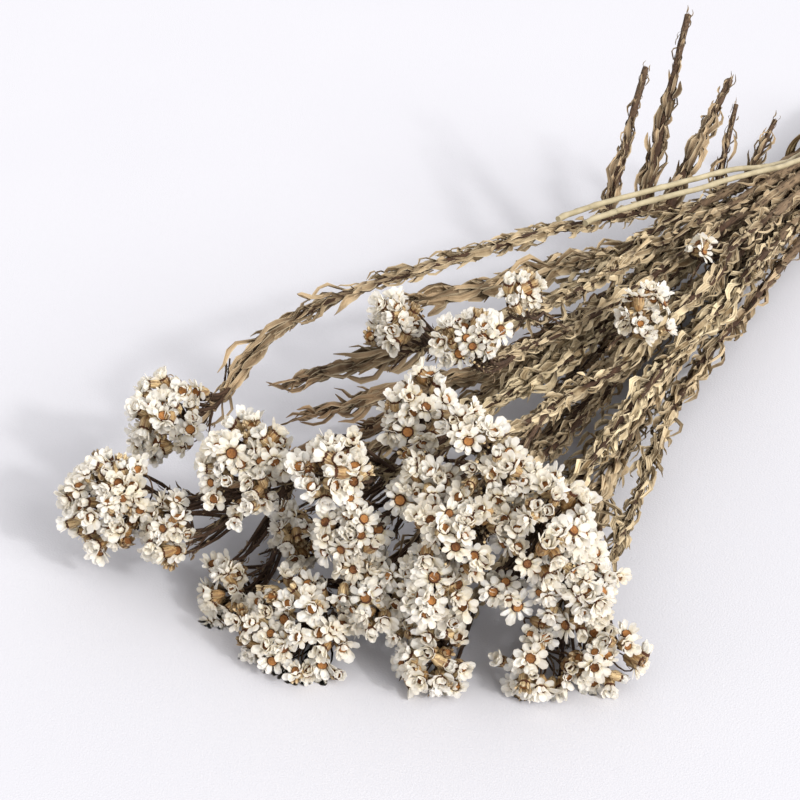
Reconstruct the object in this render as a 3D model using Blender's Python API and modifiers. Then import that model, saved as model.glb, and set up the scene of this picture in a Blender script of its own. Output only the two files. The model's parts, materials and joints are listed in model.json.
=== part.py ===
"""Dried ixodia: a tied bunch of leafy stems with clusters of white daisies, lying down.

Lengths are in metres, +Z is up, and the origin is on the surface right under the tie. The stems run
along Y: the cut ends are at +Y and the flowers at -Y.
"""
import math

import bmesh
import bpy
import numpy as np

MM = 0.001
SEED = 7
GAP = 0.3 * MM

# The stems at the tie
WOOD_RADIUS = 2.6 * MM
SLOT_PITCH = 2 * WOOD_RADIUS + 0.35 * MM
SEAT_STEP = 0.02 * MM
STEM_COUNT = 21
FOOT_LENGTHS = (62 * MM, 76 * MM)
# Radii at the foot and at the tip of each kind of strand
RADII = {
    "stem": (WOOD_RADIUS, 0.95 * MM),
    "twig": (1.2 * MM, 0.8 * MM),
    "leafy_twig": (2.0 * MM, 1.0 * MM),
    "straw": (1.2 * MM, 1.2 * MM),
}

# The tie: a strip of raffia, wound three times
TIE_TURNS = 3
TIE_TURN_WIDTH = 3.4 * MM
TIE_GROOVE = 0.5 * MM
TIE_THICKNESS = 1.8 * MM
TIE_STEPS = 18

# Leaves: narrow straps that clothe each stem between the tie and its branchlets
LEAF_LENGTHS = (14 * MM, 21 * MM)
LEAF_WIDTH = 4.2 * MM
LEAF_THICKNESS = 1.1 * MM
LEAF_WIDEST = 0.35
LEAF_PITCH = 20.6 * MM
LEAF_LEANS = (24, 38)
LEAF_STEP = 3 * MM
LEAF_TRIES = 9
LEAF_TURN = 0.7
BARE_TOP = 30 * MM
BARE_NECK = 18 * MM
BARE_BELOW = 34 * MM
BARE_FOOT = 12 * MM
GOLDEN_ANGLE = math.radians(137.5)

# One daisy: six rounded bracts round a domed disc, on a cup that narrows to its stalk
DAISY_RADIUS = 5.9 * MM
DAISY_NOTCH = 4.0 * MM
DAISY_DISC = 2.2 * MM
DAISY_CUP = 2.6 * MM
BRACTS = 6
DAISY_SPACING = 11.2 * MM
DAISY_TRIES = 8
DAISY_JITTER = 0.12
# A cluster's dome of daisies, its core and its stalk, and how deep the surface may press a daisy
DOME_ANGLE = math.radians(56)
CORE_SHARE = 0.52
STALK_SHARE = 0.2
CROWN_SHARE = 0.75
PRESSED = 0.6 * MM
SMALL_HEAD = 18 * MM

# Flower clusters in millimetres: name, the cluster whose stem it forks from, centre, facing, width
HEADS = (
    ("a", None, (-86, -333, 46), (-0.15, -0.80, 0.58), 31),
    ("b", None, (-86, -364, 33), (-0.35, -0.75, 0.55), 37),
    ("b_mid", "b", (-62, -362, 28), (-0.35, -0.85, 0.35), 28),
    ("b_low", "b", (-41, -359, 8.5), (-0.20, -0.90, 0.35), 28),
    ("c", None, (-41, -343, 55), (-0.10, -0.65, 0.75), 35),
    ("c_low", "c", (-30, -334, 24), (-0.10, -0.90, 0.40), 24),
    ("d", None, (-11, -365, 14), (0.00, -0.90, 0.42), 40),
    ("e", None, (-4, -342, 64), (0.10, -0.65, 0.75), 28),
    ("e_low", "e", (0, -344, 45), (0.10, -0.85, 0.50), 27),
    ("f", None, (0, -309, 73), (0.10, -0.50, 0.85), 28),
    ("g", None, (16, -326, 61), (0.25, -0.60, 0.75), 25),
    ("h", None, (22, -313, 75), (0.20, -0.45, 0.87), 21),
    ("h_side", "h", (40, -321, 65), (0.40, -0.60, 0.70), 24),
    ("i", None, (33, -336, 54), (0.35, -0.70, 0.60), 28),
    ("i_low", "i", (29, -343, 37), (0.30, -0.80, 0.50), 28),
    ("j", None, (11, -348, 27), (0.10, -0.90, 0.40), 30),
    ("k", None, (32, -350, 13), (0.25, -0.90, 0.30), 30),
    ("l", None, (58, -318, 58), (0.50, -0.50, 0.70), 34),
    ("l_low", "l", (48, -331, 34), (0.40, -0.80, 0.45), 17),
    ("m", None, (66, -319, 37), (0.60, -0.65, 0.45), 31),
    ("n", None, (60, -331, 12), (0.45, -0.85, 0.30), 27),
    ("n_side", "n", (77, -316, 13.5), (0.65, -0.70, 0.30), 27),
    ("o", None, (-35, -269, 71), (-0.10, -0.45, 0.88), 24),
    ("p", None, (-2, -279, 81), (0.10, -0.45, 0.88), 26),
    ("q", None, (-4, -243, 79), (0.20, -0.40, 0.89), 22),
    ("r", None, (24, -204, 60), (0.45, -0.35, 0.80), 24),
    ("r_bud", "r", (8, -138, 49), (0.10, -0.45, 0.88), 15),
)
# Leafy stems with no flowers, in millimetres: name, the stem that it forks from, tip, facing
FLOWERLESS = (
    ("s", None, (58, -284, 24), (0.30, -0.95, 0.10)),
    ("c_leafy", "c", (-62, -279, 24), (-0.30, -0.95, 0.05)),
    ("o_leafy", "o", (-66, -280, 38), (-0.40, -0.90, 0.10)),
    ("o_spray", "o", (-58, -226, 45), (-0.50, -0.85, 0.15)),
)
# The bare straws on top, in millimetres: name, tip
STRAWS = (("straw_1", (-38, -160, 53)), ("straw_2", (-30, -154, 51)))
# Where some stems bend on their way, in millimetres
BENDS = {
    "a": ((-30, -112, 41), (-54, -210, 55), (-76, -276, 54)),
    "l": ((19, -165, 34),),
    "m": ((17, -160, 22),),
    "n": ((12, -150, 8),),
    "s": ((17, -150, 14),),
    "straw_1": ((-15, -75, 42),),
    "straw_2": ((-9, -75, 41),),
}
# Side shoots that stand up near the tie, in millimetres: foot, tip, radii, stubs of leaves
SHOOTS = (
    ((-31, -108, 35), (-46, -51, 92), (2.2, 1.3), 9),
    ((-36, -130, 40), (-53, -71, 75), (1.8, 1.3), 6),
    ((-26, -93, 31), (-34, -32, 60), (2.6, 1.3), 5),
    ((-19, -68, 22), (-28, -37, 53), (1.6, 1.0), 3),
    ((-15, -48, 26), (-14, -28, 46), (1.6, 1.0), 2),
)
SHOOT_LEAF_SCALE = 0.5
TWIG_LEAF_SCALE = 0.8
# How far before its own end a branchlet forks from its stem
FORK_BACK = {"twig": 55 * MM, "leafy_twig": 90 * MM}

# Laying the stems side by side, in slices along Y from the end of their straight run through the tie
STRAIGHT = -8 * MM
SLICE = 5 * MM
ELBOW = 5 * MM
LEAF_ROOM = 2.2 * MM
LEAF_ROOM_LENGTH = 110 * MM
TWIG_ROOM = 0.5 * MM
PUSH_ROUNDS = 40
PUSH_SHARE = 0.35
# Extra rings of a stem just past the tie, and one before its elbow
NECK_MARKS = np.array((0, 14 * MM, 32 * MM))
UPPER_MARK = 13 * MM
STEM_RINGS = 42 * MM
TWIG_RINGS = 16 * MM
SHOOT_RINGS = 7

COLOURS = {
    "stem": (0.27, 0.19, 0.10),
    "head": (0.86, 0.82, 0.72),
    "straw": (0.62, 0.52, 0.33),
    "tie": (0.66, 0.54, 0.34),
}


def vec(values):
    return np.array(values, float)


def unit(v):
    v = vec(v)
    return v / np.linalg.norm(v)


def across(direction):
    """Two unit vectors square to a direction and to each other."""
    helper = vec((0, 0, 1)) if abs(direction[2]) < 0.9 else vec((1, 0, 0))
    side = unit(np.cross(direction, helper))
    return side, np.cross(side, direction)


def hermite(start, start_pull, end, end_pull, count):
    t = np.linspace(0, 1, count)[:, None]
    return (
        (2 * t**3 - 3 * t**2 + 1) * start
        + (t**3 - 2 * t**2 + t) * start_pull
        + (3 * t**2 - 2 * t**3) * end
        + (t**3 - t**2) * end_pull
    )


def lengths_along(line):
    """The length of a line up to each of its points."""
    return np.concatenate([[0], np.cumsum(np.linalg.norm(np.diff(line, axis=0), axis=1))])


def place_at(marks, along, line):
    """The points of a line at these lengths along it."""
    return np.stack([np.interp(marks, along, line[:, i]) for i in range(3)], axis=-1)


class Head:
    """One cluster: a dome of daisies whose stalks meet at a fork behind it."""

    def __init__(self, name, parent, centre, facing, width):
        self.name = name
        self.node = "head_" + name
        self.parent = parent
        self.facing = unit(facing)
        self.width = width * MM
        rim = self.width / 2 - DAISY_RADIUS * math.cos(DOME_ANGLE)
        self.dome = rim / math.sin(DOME_ANGLE)
        self.stalk = STALK_SHARE * self.width
        self.middle = vec(centre) * MM - self.facing * CROWN_SHARE * self.dome
        self.fork = self.middle - self.facing * self.stalk
        cap = 2 * math.pi * self.dome**2 * (1 - math.cos(DOME_ANGLE))
        fewest = 3 if self.width > SMALL_HEAD else 2
        self.count = max(fewest, round(cap / (0.85 * DAISY_SPACING**2)))

    def shift(self, step):
        self.middle = self.middle + step
        self.fork = self.fork + step


class Strand:
    """A stem or branchlet: points at fixed steps of Y, then a straight last piece to its tip."""

    def __init__(self, name, kind, tip, facing, parent=None):
        self.name = name
        self.kind = kind
        self.tip = tip
        self.facing = facing
        self.parent = parent
        self.elbow = tip - facing * ELBOW
        self.root = self
        self.slot = None
        self.foot = 0.0
        self.path = None
        self.aim = None
        self.start = STRAIGHT

    @property
    def node(self):
        root = self.root
        return root.name if root.kind == "straw" else "stem_" + root.name

    def radius(self, share):
        """Full thickness up the leafy part, then a taper through the bare branchlet."""
        foot, tip = RADII[self.kind]
        return foot + (tip - foot) * np.clip(share * 4 - 3, 0, 1)

    def sizes(self, points):
        along = lengths_along(points)
        return self.radius(along / along[-1])

    def room(self, y):
        """Half the width that this path is given at a Y: its wood, and its leaves where it has any."""
        share = 1.0 if self.parent else (STRAIGHT - y) / (STRAIGHT - self.elbow[1])
        leafy = np.clip((STRAIGHT - y) / LEAF_ROOM_LENGTH, 0, 1) * LEAF_ROOM
        if self.kind != "stem" or y - self.elbow[1] < 1.4 * BARE_TOP:
            leafy = min(leafy, TWIG_ROOM)
        return float(self.radius(share)) + leafy + 0.6 * GAP

    def points(self, spacing):
        """Points about this far apart from the foot to the tip, closer where the stems are packed."""
        line = self.path
        if not self.parent:
            line = np.vstack([line[0] + vec((0, self.foot, 0)), line])
        line = np.vstack([line, self.tip])
        along = lengths_along(line)
        inner = along[-1] - ELBOW
        marks = np.linspace(0, inner, max(3, round(inner / spacing)))
        if not self.parent:
            close = self.foot + NECK_MARKS
            marks = marks[(marks > close[-1] + spacing / 2) & (marks < inner - spacing / 2)]
            marks = np.concatenate([[0], close, marks, [inner - UPPER_MARK, inner]])
        marks = np.append(marks, along[-1])
        return place_at(marks, along, line)


def tie_slots():
    """The closest places on a triangular lattice round a triangle's centre, as (x, z) offsets."""
    places = []
    for row in range(-6, 7):
        for column in range(-6, 7):
            x = (column + row / 2) * SLOT_PITCH - SLOT_PITCH / 2
            z = row * SLOT_PITCH * math.sqrt(3) / 2 - SLOT_PITCH * math.sqrt(3) / 6
            places.append((round(math.hypot(x, z), 6), round(math.atan2(z, x), 6), x, z))
    return vec([place[2:] for place in sorted(places)[:STEM_COUNT]])


SLOTS = tie_slots()
BUNDLE_RADIUS = np.hypot(*SLOTS.T).max() + WOOD_RADIUS
TIE_INNER = BUNDLE_RADIUS + GAP
TIE_OUTER = TIE_INNER + TIE_THICKNESS


def assign_slots(strands):
    """Gives each stem the place at the tie that suits its end, by swapping pairs while it helps.

    The straws lie on top. A straw is thinner than a stem, so it moves in until it lies on its
    neighbours.
    """
    ends = vec([(s.tip[0] / (75 * MM), (s.tip[2] - 40 * MM) / (36 * MM)) for s in strands])
    ends[[s.kind == "straw" for s in strands], 1] += 1
    places = SLOTS / BUNDLE_RADIUS
    order = list(range(len(strands)))
    cost = np.linalg.norm(ends[:, None] - places[None], axis=2) ** 2
    swapped = True
    while swapped:
        swapped = False
        for a in range(len(order)):
            for b in range(a + 1, len(order)):
                now = cost[a, order[a]] + cost[b, order[b]]
                then = cost[a, order[b]] + cost[b, order[a]]
                if then < now - 1e-9:
                    order[a], order[b] = order[b], order[a]
                    swapped = True
    for strand, place in zip(strands, order):
        spot = SLOTS[place]
        if strand.kind == "straw":
            others = np.delete(SLOTS, place, axis=0)
            reach = WOOD_RADIUS + RADII["straw"][0] + GAP
            while np.linalg.norm(others - spot, axis=1).min() > reach:
                spot = spot - unit(spot) * SEAT_STEP
        strand.slot = vec((spot[0], 0, TIE_OUTER + spot[1]))


def guess(strand, start, pull):
    """A smooth way to the strand's elbow, through its bends if it has any, as (x, z) for any Y."""
    straight = strand.elbow - start
    end_pull = unit(0.6 * strand.facing + unit(straight))
    if strand.name in BENDS:
        stops = np.vstack([start, vec(BENDS[strand.name]) * MM, strand.elbow])
        pulls = [pull, *[unit(after - before) for before, after in zip(stops, stops[2:])]]
        pulls.append(end_pull * 0.7)
        lengths = np.linalg.norm(np.diff(stops, axis=0), axis=1)
        spans = zip(stops, stops[1:], pulls, pulls[1:], lengths)
        curve = np.vstack([hermite(a, p * span, b, q * span, 100) for a, b, p, q, span in spans])
    else:
        length = np.linalg.norm(straight)
        start_pull = unit(pull + unit(straight)) * length
        curve = hermite(start, start_pull, strand.elbow, end_pull * length * 0.7, 200)
    return lambda y: vec([np.interp(-y, -curve[:, 1], curve[:, i]) for i in (0, 2)])


def ring_of(head, y):
    """The radius that a cluster takes up at this Y, with a taper on the side its stem comes from."""
    radius = head.dome + 4 * MM
    before = y - head.middle[1]
    if before > 0:
        return radius * max(0.0, 1 - before / (2.2 * radius))
    return math.sqrt(max(0.0, radius**2 - before**2))


def push_apart(places, rooms, roots, ages, heads, owners, y):
    """Moves the discs of one slice off each other, off the clusters and off the surface."""
    same = roots[:, None] == roots[None]
    young = np.clip(np.minimum(ages[:, None], ages[None]) / (3 * SLICE), 0.05, 1)
    need = (rooms[:, None] + rooms[None]) * np.where(same, young, 1)
    np.fill_diagonal(need, 0)
    rings = [(head, ring_of(head, y)) for head in heads]
    rings = [row for row in rings if row[1] > 0]
    for _ in range(PUSH_ROUNDS):
        apart = places[:, None] - places[None]
        distance = np.linalg.norm(apart, axis=2) + 1e-9
        deep = np.clip(need - distance, 0, None)
        places = places + (apart / distance[..., None] * deep[..., None] * PUSH_SHARE).sum(axis=1)
        for head, ring in rings:
            away = places - head.middle[[0, 2]]
            far = np.linalg.norm(away, axis=1) + 1e-9
            hit = np.where(owners == head.name, 0, np.clip(ring + rooms - far, 0, None))
            places = places + away / far[:, None] * hit[:, None] * 0.5
        places[:, 1] = np.maximum(places[:, 1], rooms)
    return places


def march(strands, heads):
    """Leads every path from the tie to its elbow, slice by slice, so that none passes through another."""
    y = STRAIGHT
    waiting = [s for s in strands.values() if s.parent]
    running = [s for s in strands.values() if not s.parent]
    for strand in running:
        start = strand.slot + vec((0, STRAIGHT, 0))
        strand.aim = guess(strand, start, vec((0, -1, 0)))
        strand.path = [start]
    while running:
        step = y - SLICE
        for strand in [s for s in waiting if s.elbow[1] + FORK_BACK[s.kind] > step]:
            parent = strands[strand.parent]
            start = parent.path[-1]
            strand.aim = guess(strand, start, unit(start - parent.path[-2]))
            strand.path = [start]
            strand.start = y
            waiting.remove(strand)
            running.append(strand)
        places = vec([s.path[-1][[0, 2]] + s.aim(step) - s.aim(y) for s in running])
        aims = vec([s.aim(step) for s in running])
        left = vec([max(s.path[-1][1] - s.elbow[1], SLICE) for s in running])
        places += (aims - places) * np.clip(2 * SLICE / left, 0.04, 0.5)[:, None]
        ages = vec([s.start - y for s in running])
        rooms = vec([s.room(step) for s in running])
        roots = np.array([s.root.name for s in running])
        owners = np.array([s.name for s in running])
        places = push_apart(places, rooms, roots, ages, heads, owners, step)
        for strand, place in zip(running, places):
            strand.path.append(vec((place[0], step, place[1])))
        for strand in [s for s in running if step - SLICE / 2 < s.elbow[1]]:
            running.remove(strand)
        y = step
    for strand in strands.values():
        strand.path = vec(strand.path)
        for _ in range(3):
            inner = strand.path[2:-1]
            strand.path[2:-1] = (strand.path[1:-2] + 2 * inner + strand.path[3:]) / 4
    for strand in strands.values():
        if strand.parent:
            parent = strands[strand.parent]
            nearest = np.argmin(np.abs(parent.path[:, 1] - strand.path[0, 1]))
            strand.path[0] = parent.path[nearest]


def lay_out():
    """All clusters and all paths, settled."""
    heads = [Head(*row) for row in HEADS]
    draw = np.random.default_rng(SEED)
    strands = {}
    for head in heads:
        kind = "twig" if head.parent else "stem"
        tip = head.fork - head.facing * GAP
        strands[head.name] = Strand(head.name, kind, tip, head.facing, head.parent)
    for name, parent, tip, facing in FLOWERLESS:
        kind = "leafy_twig" if parent else "stem"
        strands[name] = Strand(name, kind, vec(tip) * MM, unit(facing), parent)
    for name, tip in STRAWS:
        strands[name] = Strand(name, "straw", vec(tip) * MM, unit((0, -1, 0.1)))
    for strand in strands.values():
        if strand.parent:
            strand.root = strands[strand.parent].root
    mains = [s for s in strands.values() if not s.parent]
    assign_slots(mains)
    for strand in mains:
        strand.foot = draw.uniform(*FOOT_LENGTHS) - STRAIGHT
    march(strands, heads)
    for head in heads:
        strand = strands[head.name]
        head.shift(strand.path[-1] - strand.elbow)
        strand.tip = head.fork - head.facing * GAP
    return heads, strands


class Crowd:
    """Balls and rods that stand for what is already placed, each with the node that owns it."""

    def __init__(self):
        self.centres = np.zeros((0, 3))
        self.radii = np.zeros(0)
        self.owners = np.zeros(0, int)
        self.rods = np.zeros((0, 8))
        self.rod_owners = np.zeros(0, int)
        self.names = {}

    def number(self, owner):
        return self.names.setdefault(owner, len(self.names))

    def add(self, owner, centres, radii):
        self.centres = np.vstack([self.centres, centres])
        self.radii = np.append(self.radii, radii)
        self.owners = np.append(self.owners, np.full(len(centres), self.number(owner)))

    def add_path(self, owner, points, radii):
        rows = np.column_stack([points[:-1], points[1:], radii[:-1], radii[1:]])
        self.rods = np.vstack([self.rods, rows])
        self.rod_owners = np.append(self.rod_owners, np.full(len(rows), self.number(owner)))

    def clear(self, owner, centres, radii, lowest):
        """Whether these balls keep the gap to every other node's and stay above a height."""
        if (centres[:, 2] - radii).min() < lowest:
            return False
        number = self.number(owner)
        others = self.owners != number
        distance = np.linalg.norm(self.centres[others][None] - centres[:, None], axis=2)
        if (distance - self.radii[others][None] - radii[:, None]).min() < GAP:
            return False
        rods = self.rods[self.rod_owners != number]
        start = rods[None, :, :3]
        step = rods[None, :, 3:6] - start
        share = ((centres[:, None] - start) * step).sum(axis=2) / (step**2).sum(axis=2)
        share = np.clip(share, 0, 1)
        distance = np.linalg.norm(centres[:, None] - start - share[..., None] * step, axis=2)
        thick = rods[None, :, 6] + share * (rods[None, :, 7] - rods[None, :, 6])
        return bool((distance - thick - radii[:, None]).min() > GAP)


def tube(name, points, radii, resolution):
    """A closed tube through these points, as a mesh object."""
    curve = bpy.data.curves.new(name, "CURVE")
    curve.dimensions = "3D"
    curve.bevel_depth = 1.0
    curve.bevel_resolution = resolution
    curve.use_fill_caps = True
    spline = curve.splines.new("POLY")
    spline.points.add(len(points) - 1)
    for place, point, radius in zip(spline.points, points, radii):
        place.co = (*point, 1)
        place.radius = radius
    guide = bpy.data.objects.new(name + "_guide", curve)
    bpy.context.scene.collection.objects.link(guide)
    graph = bpy.context.evaluated_depsgraph_get()
    mesh = bpy.data.meshes.new_from_object(guide.evaluated_get(graph))
    bpy.data.objects.remove(guide)
    bm = bmesh.new()
    bm.from_mesh(mesh)
    bmesh.ops.remove_doubles(bm, verts=bm.verts, dist=0.0001 * MM)
    bmesh.ops.recalc_face_normals(bm, faces=bm.faces)
    bm.to_mesh(mesh)
    bm.free()
    mesh.name = name
    return bpy.data.objects.new(name, mesh)


def loft(name, rings):
    """A closed solid through rings of points; a ring of one point closes an end."""
    bm = bmesh.new()
    made = [[bm.verts.new(point) for point in ring] for ring in rings]
    for lower, upper in zip(made, made[1:]):
        steps = max(len(lower), len(upper))
        for i in range(steps):
            a, b = i * len(lower) // steps, (i + 1) * len(lower) // steps % len(lower)
            c, d = i * len(upper) // steps, (i + 1) * len(upper) // steps % len(upper)
            if a != b:
                bm.faces.new((lower[a], lower[b], upper[c]))
            if c != d:
                bm.faces.new((lower[b], upper[d], upper[c]))
    for ring in (made[0], made[-1]):
        if len(ring) > 2:
            bm.faces.new(ring)
    bmesh.ops.recalc_face_normals(bm, faces=bm.faces)
    mesh = bpy.data.meshes.new(name)
    bm.to_mesh(mesh)
    bm.free()
    return bpy.data.objects.new(name, mesh)


def daisy_rings(centre, normal, depth, turn):
    """A daisy's rings: the foot of its cup, the cup's rim, the bracts' outline, and the domed disc."""
    side, up = across(normal)

    def ring(count, radii, height):
        angles = turn + np.arange(count) * 2 * math.pi / count
        radii = np.resize(radii, count)[:, None]
        spokes = np.cos(angles)[:, None] * side + np.sin(angles)[:, None] * up
        return centre + radii * spokes + np.resize(height, count)[:, None] * normal

    return [
        [centre - normal * depth],
        ring(3, DAISY_CUP, -1.4 * MM),
        ring(2 * BRACTS, (DAISY_RADIUS, DAISY_NOTCH), (0.5 * MM, 0.0)),
        ring(BRACTS, DAISY_DISC, 0.2 * MM),
        [centre + normal * 1.2 * MM],
    ]


def daisy_balls(rings):
    tips = rings[2][::2] * 0.92 + rings[4][0] * 0.08
    low = rings[0][0]
    cup = [low + (rings[4][0] - low) * share for share in (0.35, 0.6, 0.85)]
    centres = np.vstack([tips, (rings[2][::2] + rings[4][0]) / 2, cup])
    radii = [0.9 * MM] * BRACTS + [1.3 * MM] * BRACTS + [1.2 * MM, 1.9 * MM, 2.3 * MM]
    return centres, vec(radii)


def core_line(head):
    """The line and the radii of the small solid core that the daisies' cups meet in."""
    profile = (
        (0, 1.1 * MM),
        (head.stalk * 0.5, 1.3 * MM),
        (head.stalk + 0.05 * head.dome, CORE_SHARE * head.dome),
        (head.stalk + 0.52 * head.dome, 0.4 * head.dome),
    )
    points = vec([head.fork + head.facing * reach for reach, _ in profile])
    return points, vec([radius for _, radius in profile])


def place_daisies(head, crowd, draw):
    """Daisies spread evenly over the cluster's dome, each facing out; one that would cross is moved."""
    side, up = across(head.facing)
    placed = []
    for i in range(head.count):
        for attempt in range(DAISY_TRIES):
            share = (i + 0.5 + draw.uniform(-DAISY_JITTER, DAISY_JITTER)) / head.count
            lean = math.acos(1 - share * (1 - math.cos(DOME_ANGLE)))
            turn = i * GOLDEN_ANGLE + draw.uniform(-DAISY_JITTER, DAISY_JITTER) * (1 + attempt)
            spread = math.cos(turn) * side + math.sin(turn) * up
            outward = math.cos(lean) * head.facing + math.sin(lean) * spread
            reach = head.dome * draw.uniform(0.92, 1.05) - attempt * 0.25 * MM
            depth = reach - 0.75 * CORE_SHARE * head.dome
            place = head.middle + outward * reach
            rings = daisy_rings(place, outward, depth, draw.uniform(0, math.pi))
            centres, radii = daisy_balls(rings)
            if crowd.clear(head.node, centres, radii, -PRESSED):
                crowd.add(head.node, centres, radii)
                placed.append(rings)
                break
    return placed


def leaf_rings(heart, forward, outward, radius, length, lean):
    """A leaf: a root at the stem's heart, its widest part, and its point, bent back to the stem."""
    rise = math.sin(lean) * outward + math.cos(lean) * forward
    bend = math.sin(lean * 0.35) * outward + math.cos(lean * 0.35) * forward
    side = unit(np.cross(forward, outward))
    face = np.cross(side, rise)
    middle = heart + rise * (radius / math.sin(lean) + length * LEAF_WIDEST)
    wide = [
        middle - side * LEAF_WIDTH / 2 - face * LEAF_THICKNESS / 2,
        middle + side * LEAF_WIDTH / 2 - face * LEAF_THICKNESS / 2,
        middle + face * LEAF_THICKNESS / 2,
    ]
    return [[heart], wide, [middle + bend * length * (1 - LEAF_WIDEST)]]


def leaf_balls(rings):
    heart, middle, tip = (np.mean(ring, axis=0) for ring in rings)
    half = (rings[1][1] - rings[1][0]) / 2
    centres = [
        heart + (middle - heart) * 0.5,
        heart + (middle - heart) * 0.75,
        middle - half * 0.45,
        middle + half * 0.45,
        middle + (tip - middle) * 0.35,
        middle + (tip - middle) * 0.7,
        tip,
    ]
    return vec(centres), vec([0.9, 1.3, 1.1, 1.1, 1.2, 0.8, 0.4]) * MM


def place_leaves(owner, path, start, stop, pitch, scale, crowd, draw):
    """Leaves up a path by the golden angle, pointing on; one that would cross is turned or shortened."""
    points, radii = path
    along = lengths_along(points)
    placed = []
    turn = draw.uniform(0, 2 * math.pi)
    for mark in np.arange(start, min(stop, along[-1]), pitch):
        turn += GOLDEN_ANGLE
        length = draw.uniform(*LEAF_LENGTHS) * scale
        lean = math.radians(draw.uniform(*LEAF_LEANS))
        before, heart, after = place_at(mark + LEAF_STEP * vec((-1, 0, 1)), along, points)
        forward = unit(after - before)
        side, up = across(forward)
        radius = np.interp(mark, along, radii)
        for attempt in range(LEAF_TRIES):
            angle = turn + attempt * LEAF_TURN
            outward = math.cos(angle) * side + math.sin(angle) * up
            shorter = length * (1 - 0.04 * attempt)
            rings = leaf_rings(heart, forward, outward, radius, shorter, lean)
            centres, sizes = leaf_balls(rings)
            if crowd.clear(owner, centres, sizes, GAP):
                crowd.add(owner, centres, sizes)
                placed.append(loft("leaf", rings))
                break
    return placed


def material(kind):
    made = bpy.data.materials.new(kind)
    made.use_nodes = True
    shader = made.node_tree.nodes["Principled BSDF"]
    shader.inputs["Base Color"].default_value = (*COLOURS[kind], 1)
    shader.inputs["Roughness"].default_value = 0.85
    shader.inputs["Metallic"].default_value = 0
    return made


def largest_body(mesh):
    """Drops every island of a mesh but the largest: loose scraps and sealed hollows."""
    bm = bmesh.new()
    bm.from_mesh(mesh)
    left = set(bm.verts)
    islands = []
    while left:
        stack = [left.pop()]
        island = set(stack)
        while stack:
            for edge in stack.pop().link_edges:
                for vert in edge.verts:
                    if vert in left:
                        left.remove(vert)
                        island.add(vert)
                        stack.append(vert)
        islands.append(island)
    keep = max(islands, key=len)
    loose = [vert for vert in bm.verts if vert not in keep]
    bmesh.ops.delete(bm, geom=loose, context="VERTS")
    bm.to_mesh(mesh)
    bm.free()


def fuse(name, base, repeats, group, look):
    """One body made of a base and its repeats by a single union on a collection."""
    group.objects.link(base)
    base.name = name
    if repeats:
        bits = bpy.data.collections.new(name + "_bits")
        bpy.context.scene.collection.children.link(bits)
        for bit in repeats:
            bits.objects.link(bit)
        union = base.modifiers.new("union", "BOOLEAN")
        union.operation = "UNION"
        union.operand_type = "COLLECTION"
        union.collection = bits
        union.solver = "MANIFOLD"
        graph = bpy.context.evaluated_depsgraph_get()
        mesh = bpy.data.meshes.new_from_object(base.evaluated_get(graph))
        base.modifiers.clear()
        base.data = mesh
        for bit in list(bits.objects):
            bpy.data.objects.remove(bit)
        bpy.data.collections.remove(bits)
    base.data.name = name
    largest_body(base.data)
    base.data.materials.clear()
    base.data.materials.append(look)
    return base


def build_tie(group, look):
    """The raffia: a grooved band turned round the bundle. Its eighteen facets put one flat down."""
    stretch = 1 / math.cos(math.pi / TIE_STEPS)
    half = TIE_TURNS * TIE_TURN_WIDTH / 2
    profile = [(TIE_INNER, -half), (TIE_INNER, half)]
    for i in range(TIE_TURNS):
        high = half - i * TIE_TURN_WIDTH
        profile.append((TIE_OUTER - TIE_GROOVE, high))
        profile.append((TIE_OUTER, high - TIE_GROOVE))
        profile.append((TIE_OUTER, high - TIE_TURN_WIDTH + TIE_GROOVE))
    profile.append((TIE_OUTER - TIE_GROOVE, -half))
    count = len(profile)
    mesh = bpy.data.meshes.new("tie")
    points = [(radius * stretch, 0, height) for radius, height in profile]
    mesh.from_pydata(points, [(i, (i + 1) % count) for i in range(count)], [])
    mesh.materials.append(look)
    tie = bpy.data.objects.new("tie", mesh)
    turned = tie.modifiers.new("turned", "SCREW")
    turned.steps = turned.render_steps = TIE_STEPS
    turned.use_merge_vertices = True
    turned.merge_threshold = 0.01 * MM
    turned.use_smooth_shade = False
    tie.rotation_euler = (math.pi / 2, 0, 0)
    tie.location = (0, 0, TIE_OUTER)
    group.objects.link(tie)


def claim_space(heads, strands, crowd):
    """Enters the tie, the paths and the cores, so that leaves and daisies keep clear of them."""
    middle = TIE_INNER + TIE_THICKNESS / 2
    angles = np.arange(0, 2 * math.pi, math.pi / 24)
    for offset in (-1, 0, 1):
        line = vec(
            [
                (middle * math.cos(a), offset * TIE_TURN_WIDTH, TIE_OUTER + middle * math.sin(a))
                for a in angles
            ]
        )
        crowd.add("tie", line, np.full(len(line), TIE_TURN_WIDTH / 2))
    for strand in strands.values():
        points = strand.points(6 * MM)
        crowd.add_path(strand.node, points, strand.sizes(points))
    for head in heads:
        crowd.add_path(head.node, *core_line(head))


def grow_shoots(strands, crowd):
    """The upright side shoots of each stem: path, radii and number of leaf stubs."""
    stems = [s for s in strands.values() if s.kind == "stem"]
    shoots = {stem.name: [] for stem in stems}
    for foot, tip, radii, stubs in SHOOTS:
        foot = vec(foot) * MM
        tip = vec(tip) * MM
        near = [(np.linalg.norm(s.path - foot, axis=1).min(), s.name) for s in stems]
        stem = strands[min(near)[1]]
        start = stem.path[np.linalg.norm(stem.path - foot, axis=1).argmin()]
        rise = tip - start
        points = hermite(start, rise * 0.8 + vec((0, 0, 10 * MM)), tip, rise, SHOOT_RINGS)
        sizes = np.linspace(*radii, len(points)) * MM
        crowd.add_path(stem.node, points, sizes)
        shoots[stem.name].append((points, sizes, stubs))
    return shoots


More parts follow.
